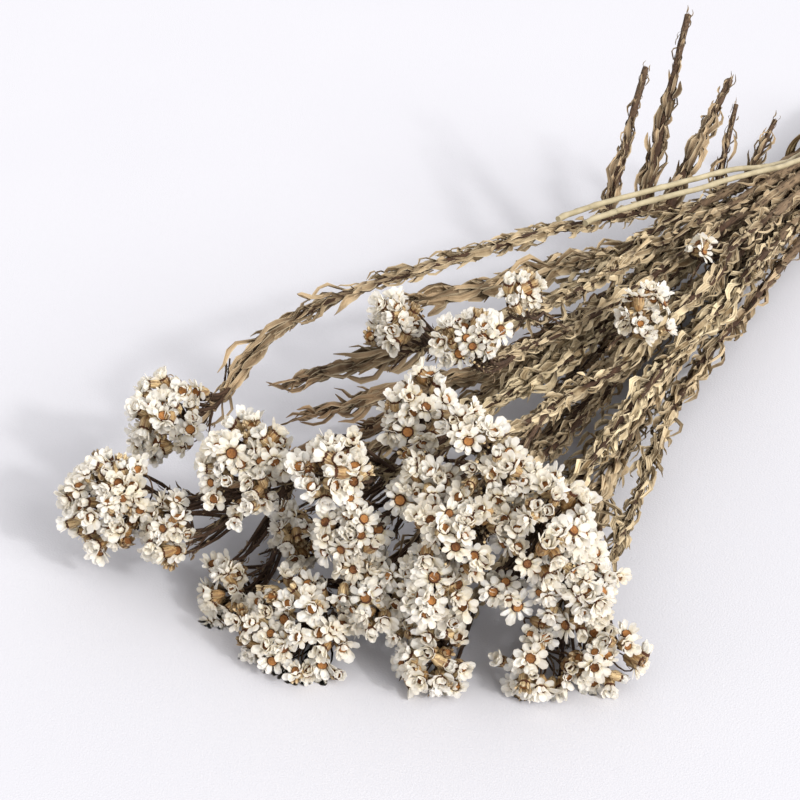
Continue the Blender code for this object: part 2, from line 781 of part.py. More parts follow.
def build_stem(stem, twigs, shoots, crowd, draw, group, look):
    """A leafy stem: its tube, with its leaves, branchlets and side shoots fused in."""
    fine = stem.points(SLICE)
    path = (fine, stem.sizes(fine))
    bits = []
    for start, stop in (
        (BARE_FOOT, stem.foot - BARE_BELOW),
        (stem.foot + BARE_NECK, lengths_along(fine)[-1] - BARE_TOP),
    ):
        start += draw.uniform(0, 0.5) * LEAF_PITCH
        bits += place_leaves(stem.node, path, start, stop, LEAF_PITCH, 1, crowd, draw)
    for line, sizes, stubs in shoots:
        bits.append(tube("shoot", line, sizes, 0))
        reach = lengths_along(line)[-1]
        start, pitch = 0.25 * reach, 0.75 * reach / stubs
        path = (line, sizes)
        bits += place_leaves(stem.node, path, start, reach, pitch, SHOOT_LEAF_SCALE, crowd, draw)
    for twig in twigs:
        line = twig.points(TWIG_RINGS)
        path = (line, twig.sizes(line))
        bits.append(tube("twig", *path, 0))
        if twig.kind == "leafy_twig":
            bits += place_leaves(
                stem.node, path, BARE_NECK, math.inf, LEAF_PITCH / 2, TWIG_LEAF_SCALE, crowd, draw
            )
    points = stem.points(STEM_RINGS)
    fuse(stem.node, tube(stem.node, points, stem.sizes(points), 1), bits, group, look)


def build_straw(straw, group, look):
    points = straw.points(STEM_RINGS)
    fuse(straw.node, tube(straw.node, points, straw.sizes(points), 0), [], group, look)


def build_head(head, daisies, group, look):
    """A cluster: its core with its daisies fused in, pressed flat where it meets the surface."""
    core = tube("core", *core_line(head), 1)
    blooms = [loft("daisy", rings) for rings in daisies]
    solid = fuse(head.node, core, blooms, group, look)
    for vert in solid.data.vertices:
        vert.co.z = max(vert.co.z, 0.0)


def build():
    for old in list(bpy.data.objects):
        bpy.data.objects.remove(old)
    group = bpy.data.collections.new("dried_ixodia")
    bpy.context.scene.collection.children.link(group)
    looks = {kind: material(kind) for kind in COLOURS}
    heads, strands = lay_out()
    draw = np.random.default_rng(SEED)
    crowd = Crowd()
    claim_space(heads, strands, crowd)
    daisies = {head.name: place_daisies(head, crowd, draw) for head in heads}
    shoots = grow_shoots(strands, crowd)
    for strand in strands.values():
        if strand.kind == "stem":
            twigs = [s for s in strands.values() if s.parent and s.root is strand]
            own = shoots[strand.name]
            build_stem(strand, twigs, own, crowd, draw, group, looks["stem"])
        elif strand.kind == "straw":
            build_straw(strand, group, looks["straw"])
    for head in heads:
        build_head(head, daisies[head.name], group, looks["head"])
    build_tie(group, looks["tie"])


build()
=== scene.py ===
# %% [markdown]
# # A bunch of dried ixodia
#
# Ixodia is an everlasting daisy. Its narrow leaves and small papery flowers keep their shape when they are
# dried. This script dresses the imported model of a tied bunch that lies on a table: leafy stems, branchlets,
# clusters of white daisies, two bare straws and a raffia tie. Each cell explains one piece first.
#
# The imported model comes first. Its box is kept, because the dressed bunch has to stay inside it.

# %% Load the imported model
import json
import math

import bmesh
import bpy
import numpy as np
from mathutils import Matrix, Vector

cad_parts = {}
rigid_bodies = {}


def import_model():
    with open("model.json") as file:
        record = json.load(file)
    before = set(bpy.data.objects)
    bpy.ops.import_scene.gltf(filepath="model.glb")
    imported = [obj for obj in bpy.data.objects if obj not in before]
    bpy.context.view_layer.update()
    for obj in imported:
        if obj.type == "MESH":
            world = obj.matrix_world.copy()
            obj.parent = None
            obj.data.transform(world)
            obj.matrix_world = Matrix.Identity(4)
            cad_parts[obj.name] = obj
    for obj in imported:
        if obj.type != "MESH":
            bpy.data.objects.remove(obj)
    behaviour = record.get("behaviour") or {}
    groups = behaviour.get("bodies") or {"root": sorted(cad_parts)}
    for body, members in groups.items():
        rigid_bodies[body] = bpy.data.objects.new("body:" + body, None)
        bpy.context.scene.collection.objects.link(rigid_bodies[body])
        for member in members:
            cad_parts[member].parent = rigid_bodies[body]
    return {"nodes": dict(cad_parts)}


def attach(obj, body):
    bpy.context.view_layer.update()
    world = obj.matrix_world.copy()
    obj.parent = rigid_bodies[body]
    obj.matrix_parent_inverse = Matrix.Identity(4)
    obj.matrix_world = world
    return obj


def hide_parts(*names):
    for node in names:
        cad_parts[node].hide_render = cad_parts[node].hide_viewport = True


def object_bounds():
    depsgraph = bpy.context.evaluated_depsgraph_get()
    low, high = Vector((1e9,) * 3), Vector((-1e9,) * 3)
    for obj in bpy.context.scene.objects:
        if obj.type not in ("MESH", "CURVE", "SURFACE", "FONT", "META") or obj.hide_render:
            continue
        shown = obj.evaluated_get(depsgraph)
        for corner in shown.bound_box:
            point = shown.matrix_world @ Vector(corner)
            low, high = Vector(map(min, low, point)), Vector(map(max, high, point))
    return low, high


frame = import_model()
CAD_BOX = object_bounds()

print("packed nodes:", len(frame["nodes"]))

# %% [markdown]
# ## Sizes
#
# Everything is in metres. The origin lies on the table right under the tie, the cut ends are at +Y and the
# flowers at -Y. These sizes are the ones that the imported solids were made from. A stem's path depends on
# them, so they are repeated here as they are.

# %% Sizes of the bundle
MM = 0.001
SEED = 7
GAP = 0.3 * MM
WOOD_RADIUS = 2.6 * MM
SLOT_PITCH = 2 * WOOD_RADIUS + 0.35 * MM
SEAT_STEP = 0.02 * MM
STEM_COUNT = 21
FOOT_LENGTHS = (62 * MM, 76 * MM)
RADII = {
    "stem": (WOOD_RADIUS, 0.95 * MM),
    "twig": (1.2 * MM, 0.8 * MM),
    "leafy_twig": (2.0 * MM, 1.0 * MM),
    "straw": (1.2 * MM, 1.2 * MM),
}
TIE_TURN_WIDTH = 3.4 * MM
TIE_THICKNESS = 1.8 * MM
BARE_TOP = 30 * MM
DAISY_RADIUS = 5.9 * MM
DOME_ANGLE = math.radians(56)
STALK_SHARE = 0.2
CROWN_SHARE = 0.75

# %% [markdown]
# A cluster is a dome of daisies. It has a centre, a direction that it faces, and a width. Some clusters
# grow on a branchlet that forks from another cluster's stem.

# %% Clusters: name, the one it forks from, centre and facing, width, in millimetres
HEADS = (
    ("a", None, (-86, -333, 46), (-0.15, -0.80, 0.58), 31),
    ("b", None, (-86, -364, 33), (-0.35, -0.75, 0.55), 37),
    ("b_mid", "b", (-62, -362, 28), (-0.35, -0.85, 0.35), 28),
    ("b_low", "b", (-41, -359, 8.5), (-0.20, -0.90, 0.35), 28),
    ("c", None, (-41, -343, 55), (-0.10, -0.65, 0.75), 35),
    ("c_low", "c", (-30, -334, 24), (-0.10, -0.90, 0.40), 24),
    ("d", None, (-11, -365, 14), (0.00, -0.90, 0.42), 40),
    ("e", None, (-4, -342, 64), (0.10, -0.65, 0.75), 28),
    ("e_low", "e", (0, -344, 45), (0.10, -0.85, 0.50), 27),
    ("f", None, (0, -309, 73), (0.10, -0.50, 0.85), 28),
    ("g", None, (16, -326, 61), (0.25, -0.60, 0.75), 25),
    ("h", None, (22, -313, 75), (0.20, -0.45, 0.87), 21),
    ("h_side", "h", (40, -321, 65), (0.40, -0.60, 0.70), 24),
    ("i", None, (33, -336, 54), (0.35, -0.70, 0.60), 28),
    ("i_low", "i", (29, -343, 37), (0.30, -0.80, 0.50), 28),
    ("j", None, (11, -348, 27), (0.10, -0.90, 0.40), 30),
    ("k", None, (32, -350, 13), (0.25, -0.90, 0.30), 30),
    ("l", None, (58, -318, 58), (0.50, -0.50, 0.70), 34),
    ("l_low", "l", (48, -331, 34), (0.40, -0.80, 0.45), 17),
    ("m", None, (66, -319, 37), (0.60, -0.65, 0.45), 31),
    ("n", None, (60, -331, 12), (0.45, -0.85, 0.30), 27),
    ("n_side", "n", (77, -316, 13.5), (0.65, -0.70, 0.30), 27),
    ("o", None, (-35, -269, 71), (-0.10, -0.45, 0.88), 24),
    ("p", None, (-2, -279, 81), (0.10, -0.45, 0.88), 26),
    ("q", None, (-4, -243, 79), (0.20, -0.40, 0.89), 22),
    ("r", None, (24, -204, 60), (0.45, -0.35, 0.80), 24),
    ("r_bud", "r", (8, -138, 49), (0.10, -0.45, 0.88), 15),
)

# %% Stems without flowers, straws, bends and upright side shoots, in millimetres
FLOWERLESS = (
    ("s", None, (58, -284, 24), (0.30, -0.95, 0.10)),
    ("c_leafy", "c", (-62, -279, 24), (-0.30, -0.95, 0.05)),
    ("o_leafy", "o", (-66, -280, 38), (-0.40, -0.90, 0.10)),
    ("o_spray", "o", (-58, -226, 45), (-0.50, -0.85, 0.15)),
)
STRAWS = (("straw_1", (-38, -160, 53)), ("straw_2", (-30, -154, 51)))
BENDS = {
    "a": ((-30, -112, 41), (-54, -210, 55), (-76, -276, 54)),
    "l": ((19, -165, 34),),
    "m": ((17, -160, 22),),
    "n": ((12, -150, 8),),
    "s": ((17, -150, 14),),
    "straw_1": ((-15, -75, 42),),
    "straw_2": ((-9, -75, 41),),
}
SHOOTS = (
    ((-31, -108, 35), (-46, -51, 92), (2.2, 1.3)),
    ((-36, -130, 40), (-53, -71, 75), (1.8, 1.3)),
    ((-26, -93, 31), (-34, -32, 60), (2.6, 1.3)),
    ((-19, -68, 22), (-28, -37, 53), (1.6, 1.0)),
    ((-15, -48, 26), (-14, -28, 46), (1.6, 1.0)),
)

# %% [markdown]
# The stems are laid side by side in slices along Y. These sizes say how thick a slice is, where a
# branchlet forks, and how much room each stem takes up.

# %% Sizes of the laying
FORK_BACK = {"twig": 55 * MM, "leafy_twig": 90 * MM}
STRAIGHT = -8 * MM
SLICE = 5 * MM
ELBOW = 5 * MM
LEAF_ROOM = 2.2 * MM
LEAF_ROOM_LENGTH = 110 * MM
TWIG_ROOM = 0.5 * MM
PUSH_ROUNDS = 40
PUSH_SHARE = 0.35
NECK_MARKS = np.array((0, 14 * MM, 32 * MM))
UPPER_MARK = 13 * MM
SHOOT_RINGS = 7

# %% [markdown]
# ## Lines in space
#
# A stem, a leaf's stalk and a strip of raffia are all lines before they are solids. A few small helpers
# measure them. A Hermite curve leaves one point and arrives at another in given directions, as a shoot
# does that bends up towards the light.

# %% Vectors and lines
def vec(values):
    return np.array(values, float)


def unit(v):
    v = vec(v)
    return v / np.linalg.norm(v)


def across(direction):
    """Two unit vectors square to a direction and to each other."""
    helper = vec((0, 0, 1)) if abs(direction[2]) < 0.9 else vec((1, 0, 0))
    side = unit(np.cross(direction, helper))
    return side, np.cross(side, direction)


def hermite(start, start_pull, end, end_pull, count):
    t = np.linspace(0, 1, count)[:, None]
    return (
        (2 * t**3 - 3 * t**2 + 1) * start
        + (t**3 - 2 * t**2 + t) * start_pull
        + (3 * t**2 - 2 * t**3) * end
        + (t**3 - t**2) * end_pull
    )


def lengths_along(line):
    """The length of a line up to each of its points."""
    return np.concatenate([[0], np.cumsum(np.linalg.norm(np.diff(line, axis=0), axis=1))])


def place_at(marks, along, line):
    """The points of a line at these lengths along it."""
    return np.stack([np.interp(marks, along, line[:, i]) for i in range(3)], axis=-1)


# %% [markdown]
# A cluster keeps the middle of its dome, the dome's radius, and the fork behind it where the flower
# stalks meet.

# %% A cluster as a dome
class Head:
    """One cluster: a dome of daisies whose stalks meet at a fork behind it."""

    def __init__(self, name, parent, centre, facing, width):
        self.name = name
        self.parent = parent
        self.facing = unit(facing)
        self.width = width * MM
        rim = self.width / 2 - DAISY_RADIUS * math.cos(DOME_ANGLE)
        self.dome = rim / math.sin(DOME_ANGLE)
        self.stalk = STALK_SHARE * self.width
        self.middle = vec(centre) * MM - self.facing * CROWN_SHARE * self.dome
        self.fork = self.middle - self.facing * self.stalk

    def shift(self, step):
        self.middle = self.middle + step
        self.fork = self.fork + step


# %% [markdown]
# A strand is a stem, a branchlet or a straw. Its path is a list of points at fixed steps of Y, and a short
# straight piece leads from its elbow to its tip.

# %% A strand as a path
class Strand:
    """A stem or branchlet: points at fixed steps of Y, then a straight last piece to its tip."""

    def __init__(self, name, kind, tip, facing, parent=None):
        self.name = name
        self.kind = kind
        self.tip = tip
        self.facing = facing
        self.parent = parent
        self.elbow = tip - facing * ELBOW
        self.root = self
        self.slot = None
        self.foot = 0.0
        self.path = None
        self.aim = None
        self.start = STRAIGHT

    def radius(self, share):
        """Full thickness up the leafy part, then a taper through the bare branchlet."""
        foot, tip = RADII[self.kind]
        return foot + (tip - foot) * np.clip(share * 4 - 3, 0, 1)

    def room(self, y):
        """Half the width that this path is given at a Y: its wood, and its leaves where it has any."""
        share = 1.0 if self.parent else (STRAIGHT - y) / (STRAIGHT - self.elbow[1])
        leafy = np.clip((STRAIGHT - y) / LEAF_ROOM_LENGTH, 0, 1) * LEAF_ROOM
        if self.kind != "stem" or y - self.elbow[1] < 1.4 * BARE_TOP:
            leafy = min(leafy, TWIG_ROOM)
        return float(self.radius(share)) + leafy + 0.6 * GAP

    def points(self, spacing):
        """Points about this far apart from the foot to the tip, closer where the stems are packed."""
        line = self.path
        if not self.parent:
            line = np.vstack([line[0] + vec((0, self.foot, 0)), line])
        line = np.vstack([line, self.tip])
        along = lengths_along(line)
        inner = along[-1] - ELBOW
        marks = np.linspace(0, inner, max(3, round(inner / spacing)))
        if not self.parent:
            close = self.foot + NECK_MARKS
            marks = marks[(marks > close[-1] + spacing / 2) & (marks < inner - spacing / 2)]
            marks = np.concatenate([[0], close, marks, [inner - UPPER_MARK, inner]])
        marks = np.append(marks, along[-1])
        return place_at(marks, along, line)


# %% [markdown]
# ## Laying the stems
#
# At the tie the stems lie packed like pencils in a fist, so their places are the nearest points of a
# triangular lattice. Each stem gets the place that suits where its flowers are.

# %% Places at the tie
def tie_slots():
    """The closest places on a triangular lattice round a triangle's centre, as (x, z) offsets."""
    places = []
    for row in range(-6, 7):
        for column in range(-6, 7):
            x = (column + row / 2) * SLOT_PITCH - SLOT_PITCH / 2
            z = row * SLOT_PITCH * math.sqrt(3) / 2 - SLOT_PITCH * math.sqrt(3) / 6
            places.append((round(math.hypot(x, z), 6), round(math.atan2(z, x), 6), x, z))
    return vec([place[2:] for place in sorted(places)[:STEM_COUNT]])


SLOTS = tie_slots()
BUNDLE_RADIUS = np.hypot(*SLOTS.T).max() + WOOD_RADIUS
TIE_INNER = BUNDLE_RADIUS + GAP
TIE_OUTER = TIE_INNER + TIE_THICKNESS


def assign_slots(strands):
    """Gives each stem the place at the tie that suits its end, by swapping pairs while it helps.

    The straws lie on top. A straw is thinner than a stem, so it moves in until it lies on its
    neighbours.
    """
    ends = vec([(s.tip[0] / (75 * MM), (s.tip[2] - 40 * MM) / (36 * MM)) for s in strands])
    ends[[s.kind == "straw" for s in strands], 1] += 1
    places = SLOTS / BUNDLE_RADIUS
    order = list(range(len(strands)))
    cost = np.linalg.norm(ends[:, None] - places[None], axis=2) ** 2
    swapped = True
    while swapped:
        swapped = False
        for a in range(len(order)):
            for b in range(a + 1, len(order)):
                now = cost[a, order[a]] + cost[b, order[b]]
                then = cost[a, order[b]] + cost[b, order[a]]
                if then < now - 1e-9:
                    order[a], order[b] = order[b], order[a]
                    swapped = True
    for strand, place in zip(strands, order):
        spot = SLOTS[place]
        if strand.kind == "straw":
            others = np.delete(SLOTS, place, axis=0)
            reach = WOOD_RADIUS + RADII["straw"][0] + GAP
            while np.linalg.norm(others - spot, axis=1).min() > reach:
                spot = spot - unit(spot) * SEAT_STEP
        strand.slot = vec((spot[0], 0, TIE_OUTER + spot[1]))


# %% [markdown]
# From the tie the stems fan out. Each has a smooth way that it would take if it were alone. The march goes
# along the bunch slice by slice: in every slice the stems are discs, and discs that touch are pushed
# apart. So no stem passes through another, just as in a real bunch.

# %% The way that a stem would take alone
def guess(strand, start, pull):
    """A smooth way to the strand's elbow, through its bends if it has any, as (x, z) for any Y."""
    straight = strand.elbow - start
    end_pull = unit(0.6 * strand.facing + unit(straight))
    if strand.name in BENDS:
        stops = np.vstack([start, vec(BENDS[strand.name]) * MM, strand.elbow])
        pulls = [pull, *[unit(after - before) for before, after in zip(stops, stops[2:])]]
        pulls.append(end_pull * 0.7)
        lengths = np.linalg.norm(np.diff(stops, axis=0), axis=1)
        spans = zip(stops, stops[1:], pulls, pulls[1:], lengths)
        curve = np.vstack([hermite(a, p * span, b, q * span, 100) for a, b, p, q, span in spans])
    else:
        length = np.linalg.norm(straight)
        start_pull = unit(pull + unit(straight)) * length
        curve = hermite(start, start_pull, strand.elbow, end_pull * length * 0.7, 200)
    return lambda y: vec([np.interp(-y, -curve[:, 1], curve[:, i]) for i in (0, 2)])


# %% One slice: discs that push each other apart
def ring_of(head, y):
    """The radius that a cluster takes up at this Y, with a taper on the side its stem comes from."""
    radius = head.dome + 4 * MM
    before = y - head.middle[1]
    if before > 0:
        return radius * max(0.0, 1 - before / (2.2 * radius))
    return math.sqrt(max(0.0, radius**2 - before**2))


def push_apart(places, rooms, roots, ages, heads, owners, y):
    """Moves the discs of one slice off each other, off the clusters and off the surface."""
    same = roots[:, None] == roots[None]
    young = np.clip(np.minimum(ages[:, None], ages[None]) / (3 * SLICE), 0.05, 1)
    need = (rooms[:, None] + rooms[None]) * np.where(same, young, 1)
    np.fill_diagonal(need, 0)
    rings = [(head, ring_of(head, y)) for head in heads]
    rings = [row for row in rings if row[1] > 0]
    for _ in range(PUSH_ROUNDS):
        apart = places[:, None] - places[None]
        distance = np.linalg.norm(apart, axis=2) + 1e-9
        deep = np.clip(need - distance, 0, None)
        places = places + (apart / distance[..., None] * deep[..., None] * PUSH_SHARE).sum(axis=1)
        for head, ring in rings:
            away = places - head.middle[[0, 2]]
            far = np.linalg.norm(away, axis=1) + 1e-9
            hit = np.where(owners == head.name, 0, np.clip(ring + rooms - far, 0, None))
            places = places + away / far[:, None] * hit[:, None] * 0.5
        places[:, 1] = np.maximum(places[:, 1], rooms)
    return places


# %% The march from slice to slice
def march(strands, heads):
    """Leads every path from the tie to its elbow, slice by slice, so that none passes through another."""
    y = STRAIGHT
    waiting = [s for s in strands.values() if s.parent]
    running = [s for s in strands.values() if not s.parent]
    for strand in running:
        start = strand.slot + vec((0, STRAIGHT, 0))
        strand.aim = guess(strand, start, vec((0, -1, 0)))
        strand.path = [start]
    while running:
        step = y - SLICE
        for strand in [s for s in waiting if s.elbow[1] + FORK_BACK[s.kind] > step]:
            parent = strands[strand.parent]
            start = parent.path[-1]
            strand.aim = guess(strand, start, unit(start - parent.path[-2]))
            strand.path = [start]
            strand.start = y
            waiting.remove(strand)
            running.append(strand)
        places = vec([s.path[-1][[0, 2]] + s.aim(step) - s.aim(y) for s in running])
        aims = vec([s.aim(step) for s in running])
        left = vec([max(s.path[-1][1] - s.elbow[1], SLICE) for s in running])
        places += (aims - places) * np.clip(2 * SLICE / left, 0.04, 0.5)[:, None]
        ages = vec([s.start - y for s in running])
        rooms = vec([s.room(step) for s in running])
        roots = np.array([s.root.name for s in running])
        owners = np.array([s.name for s in running])
        places = push_apart(places, rooms, roots, ages, heads, owners, step)
        for strand, place in zip(running, places):
            strand.path.append(vec((place[0], step, place[1])))
        for strand in [s for s in running if step - SLICE / 2 < s.elbow[1]]:
            running.remove(strand)
        y = step
    smooth_paths(strands)


def smooth_paths(strands):
    """Takes the small steps out of each path, then starts each branchlet on its parent again."""
    for strand in strands.values():
        strand.path = vec(strand.path)
        for _ in range(3):
            inner = strand.path[2:-1]
            strand.path[2:-1] = (strand.path[1:-2] + 2 * inner + strand.path[3:]) / 4
    for strand in strands.values():
        if strand.parent:
            parent = strands[strand.parent]
            nearest = np.argmin(np.abs(parent.path[:, 1] - strand.path[0, 1]))
            strand.path[0] = parent.path[nearest]


# %% Lay out the whole bunch
def lay_out():
    """All clusters and all paths, settled."""
    heads = [Head(*row) for row in HEADS]
    draw = np.random.default_rng(SEED)
    strands = {}
    for head in heads:
        kind = "twig" if head.parent else "stem"
        tip = head.fork - head.facing * GAP
        strands[head.name] = Strand(head.name, kind, tip, head.facing, head.parent)
    for name, parent, tip, facing in FLOWERLESS:
        kind = "leafy_twig" if parent else "stem"
        strands[name] = Strand(name, kind, vec(tip) * MM, unit(facing), parent)
    for name, tip in STRAWS:
        strands[name] = Strand(name, "straw", vec(tip) * MM, unit((0, -1, 0.1)))
    for strand in strands.values():
        if strand.parent:
            strand.root = strands[strand.parent].root
    mains = [s for s in strands.values() if not s.parent]
    assign_slots(mains)
    for strand in mains:
        strand.foot = draw.uniform(*FOOT_LENGTHS) - STRAIGHT
    march(strands, heads)
    for head in heads:
        strand = strands[head.name]
        head.shift(strand.path[-1] - strand.elbow)
        strand.tip = head.fork - head.facing * GAP
    return heads, strands


heads, strands = lay_out()
print("clusters:", len(heads), "strands:", len(strands))

# %% [markdown]
# ## Camera, light and table
#
# The photograph looks down on the flower end from the front left of the bunch, through a long lens. The
# light comes from a window low on the right: a narrow sun lamp makes the thin shadows of the shoots, and
# a wide one shades softly. A pale world fills the shadows, because the real shadows are faint.

# %% Camera
CAMERA_AZIMUTH = math.radians(35)
CAMERA_HEIGHT = math.radians(35)
CAMERA_DISTANCE = 0.62
CAMERA_TARGET = Vector((-0.030, -0.2725, 0.04))
LENS = 85
SENSOR = 36


def place_facing(name, data, way, place=(0, 0, 0)):
    """Puts a lamp or a camera in the scene, with its back towards this way."""
    thing = bpy.data.objects.new(name, data)
    thing.location = place
    thing.rotation_euler = way.to_track_quat("Z", "Y").to_euler()
    bpy.context.scene.collection.objects.link(thing)
    return thing


out = math.cos(CAMERA_HEIGHT)
up = math.sin(CAMERA_HEIGHT)
back = Vector((math.sin(CAMERA_AZIMUTH) * out, -math.cos(CAMERA_AZIMUTH) * out, up))
lens = bpy.data.cameras.new("camera")
lens.lens = LENS
lens.sensor_width = SENSOR
lens.clip_start = 0.01
camera = place_facing("camera", lens, back, CAMERA_TARGET + back * CAMERA_DISTANCE)
bpy.context.scene.camera = camera
print("camera at", [round(x, 3) for x in camera.location])

# %% Window light and fill
SUN_HEIGHT = math.radians(33)
# How far the window is to the right of the camera, and how far on the camera's side of the bunch
WINDOW_RIGHT, WINDOW_NEAR = 0.71, 0.70
# Name, energy and angle of each lamp: the sun through the window, and the whole bright window
LAMPS = (("window_sun", 1.2, 0.1), ("window_glow", 2.2, 0.6))
LAMP_COLOUR = (1.0, 0.975, 0.93)
FILL = (1.0, 0.975, 0.945)
FILL_STRENGTH = 1.0

right = Vector((math.cos(CAMERA_AZIMUTH), math.sin(CAMERA_AZIMUTH), 0))
towards = Vector((back.x, back.y, 0)).normalized()
level = (right * WINDOW_RIGHT + towards * WINDOW_NEAR).normalized()
window = level * math.cos(SUN_HEIGHT) + Vector((0, 0, math.sin(SUN_HEIGHT)))
for name, energy, angle in LAMPS:
    sun = bpy.data.lights.new(name, "SUN")
    sun.energy = energy
    sun.angle = angle
    sun.color = LAMP_COLOUR
    place_facing(name, sun, window)

world = bpy.data.worlds.new("fill")
world.use_nodes = True
sky = world.node_tree.nodes["Background"]
sky.inputs["Color"].default_value = (*FILL, 1)
sky.inputs["Strength"].default_value = FILL_STRENGTH
bpy.context.scene.world = world
bpy.context.scene.view_settings.view_transform = "Standard"
print("sun and fill are on")

# %% [markdown]
# ## Helpers for node trees
#
# Both materials and Geometry Nodes are trees of nodes. `put` adds one node: plain values feed its inputs in
# order, names with a capital feed inputs by name, and the other names are the node's options. What it gives
# back is a `Flow`, and sums written with flows become Math nodes. So a tree below reads as a list of steps.

# %% What a node gives out
def is_vector(value):
    if isinstance(value, Flow):
        return value.socket.type in ("VECTOR", "RGBA")
    return isinstance(value, tuple)


class Flow:
    """An output of a node. Sums written with it add Math nodes, or Vector Math nodes for vectors."""

    def __init__(self, tree, socket):
        self.tree = tree
        self.socket = socket

    def __getitem__(self, name):
        """Another output of the same node."""
        return Flow(self.tree, self.socket.node.outputs[name])

    def math(self, operation, *others):
        if not is_vector(self):
            return self.tree.put("ShaderNodeMath", self, *others, operation=operation)
        if operation == "MULTIPLY" and not is_vector(others[0]):
            return self.tree.put("ShaderNodeVectorMath", self, Scale=others[0], operation="SCALE")
        return self.tree.put("ShaderNodeVectorMath", self, *others, operation=operation)

    def __add__(self, other):
        return self.math("ADD", other)

    def __sub__(self, other):
        return self.math("SUBTRACT", other)

    def __rsub__(self, other):
        return self.math("MULTIPLY_ADD", -1.0, other)

    def __mul__(self, other):
        return self.math("MULTIPLY", other)

    def __abs__(self):
        return self.math("ABSOLUTE")


# %% A tree as a list of steps
class Steps:
    """A node tree that is being made. Each call adds what it names, and returns its first output."""

    def __init__(self, group):
        self.group = group

    def feed(self, socket, value):
        if isinstance(value, Flow):
            self.group.links.new(value.socket, socket)
        else:
            socket.default_value = value

    def put(self, kind, *values, **words):
        node = self.group.nodes.new(kind)
        for key, value in words.items():
            if key[0].islower():
                setattr(node, key, value)
        for number, value in enumerate(values):
            self.feed(node.inputs[number], value)
        for key, value in words.items():
            if key[0].isupper():
                name = key.replace("_", " ")
                self.feed(next(s for s in node.inputs if s.enabled and s.name == name), value)
        return Flow(self, next(s for s in node.outputs if s.enabled))

    def noise(self, **words):
        return self.put("ShaderNodeTexNoise", **words)

    def compare(self, first, second, **words):
        return self.put("FunctionNodeCompare", A=first, B=second, **words)


class Group(Steps):
    """A node group with named inputs and outputs. `given` holds its inputs."""

    def __init__(self, kind, name, inputs, outputs):
        super().__init__(bpy.data.node_groups.new(name, kind))
        for in_out, sockets in (("INPUT", inputs), ("OUTPUT", outputs)):
            for label, socket in sockets.items():
                socket_type = "NodeSocket" + socket
                self.group.interface.new_socket(label, in_out=in_out, socket_type=socket_type)
        self.given = self.put("NodeGroupInput")

    def end(self, value):
        self.feed(self.group.nodes.new("NodeGroupOutput").inputs[0], value)
        return self.group


# %% [markdown]
# ## Shared effects
#
# Two effects are used by several finishes, so each is a shader group. `dry tint` mixes a pale and a dark
# colour: by a number that each leaf or daisy carries, and by soft blotches, because no two leaves dry
# alike. `fibres` makes the fine lines that run along a leaf, a bract or a strip of raffia, as a height.

# %% The shader groups
BLOTCH_CONTRAST = 1.5
TINT_SHARE = 0.9
FIBRE_HEIGHT = 0.35


class Shading(Steps):
    """The steps that only shaders have."""

    def place(self):
        """Where a point lies on the piece."""
        return self.put("ShaderNodeTexCoord")["Object"]

    def mark(self, name):
        """A number that the mesh carries."""
        return self.put("ShaderNodeAttribute", attribute_name=name)["Fac"]

    def blend(self, share, first, second):
        """One colour laid over another."""
        return self.put("ShaderNodeMix", Factor=share, A=first, B=second, data_type="RGBA")

    def ramp(self, value, low, high):
        """0 up to one value, 1 past another, smooth between them."""
        options = {"From_Min": low, "From_Max": high, "interpolation_type": "SMOOTHSTEP"}
        return self.put("ShaderNodeMapRange", Value=value, **options)


class Effect(Group, Shading):
    """A shader group that is being made."""

    def __init__(self, name, inputs, outputs):
        super().__init__("ShaderNodeTree", name, inputs, outputs)


def make_dry_tint():
    inputs = {"Pale": "Color", "Dark": "Color", "Tint": "Float", "Blotches": "Float"}
    effect = Effect("dry tint", inputs, {"Colour": "Color"})
    given = effect.given
    noise = effect.noise(Vector=effect.place(), Scale=given["Blotches"], Detail=3.0)
    share = given["Tint"] * TINT_SHARE + (noise - 0.5) * BLOTCH_CONTRAST
    share.socket.node.use_clamp = True
    return effect.end(effect.blend(share, given["Pale"], given["Dark"]))


def make_fibres():
    inputs = {"Across": "Float", "Lines": "Float", "Grain": "Float"}
    effect = Effect("fibres", inputs, {"Height": "Float"})
    given = effect.given
    noise = effect.noise(Vector=effect.place(), Scale=given["Grain"])
    wave = (given["Across"] * given["Lines"]).math("SINE")
    return effect.end(wave * FIBRE_HEIGHT + noise)


DRY_TINT = make_dry_tint()
FIBRES = make_fibres()
print("shader groups:", DRY_TINT.name, FIBRES.name)

# %% [markdown]
# ## Finishes
#
# A finish here is a Principled shader with a tinted colour and a fibre bump. The numbers `tint`, `along`,
# `across` and the one for brownness are attributes that the pieces carry: how this leaf differs from the
# next, how far along the leaf a point lies, how far from its middle line, and how brown its stem is together
# with painted shade on the left and low in the bunch. Colours are written as on screen, such as b3a47d, and
# turned into the linear values that shaders take.

# %% A finish
SPECULAR = 0.3


def hue(code):
    """A colour written as on screen, as linear values."""
    parts = [int(code[i : i + 2], 16) / 255 for i in (0, 2, 4)]
    return (*[((p + 0.055) / 1.055) ** 2.4 if p > 0.04045 else p / 12.92 for p in parts], 1)


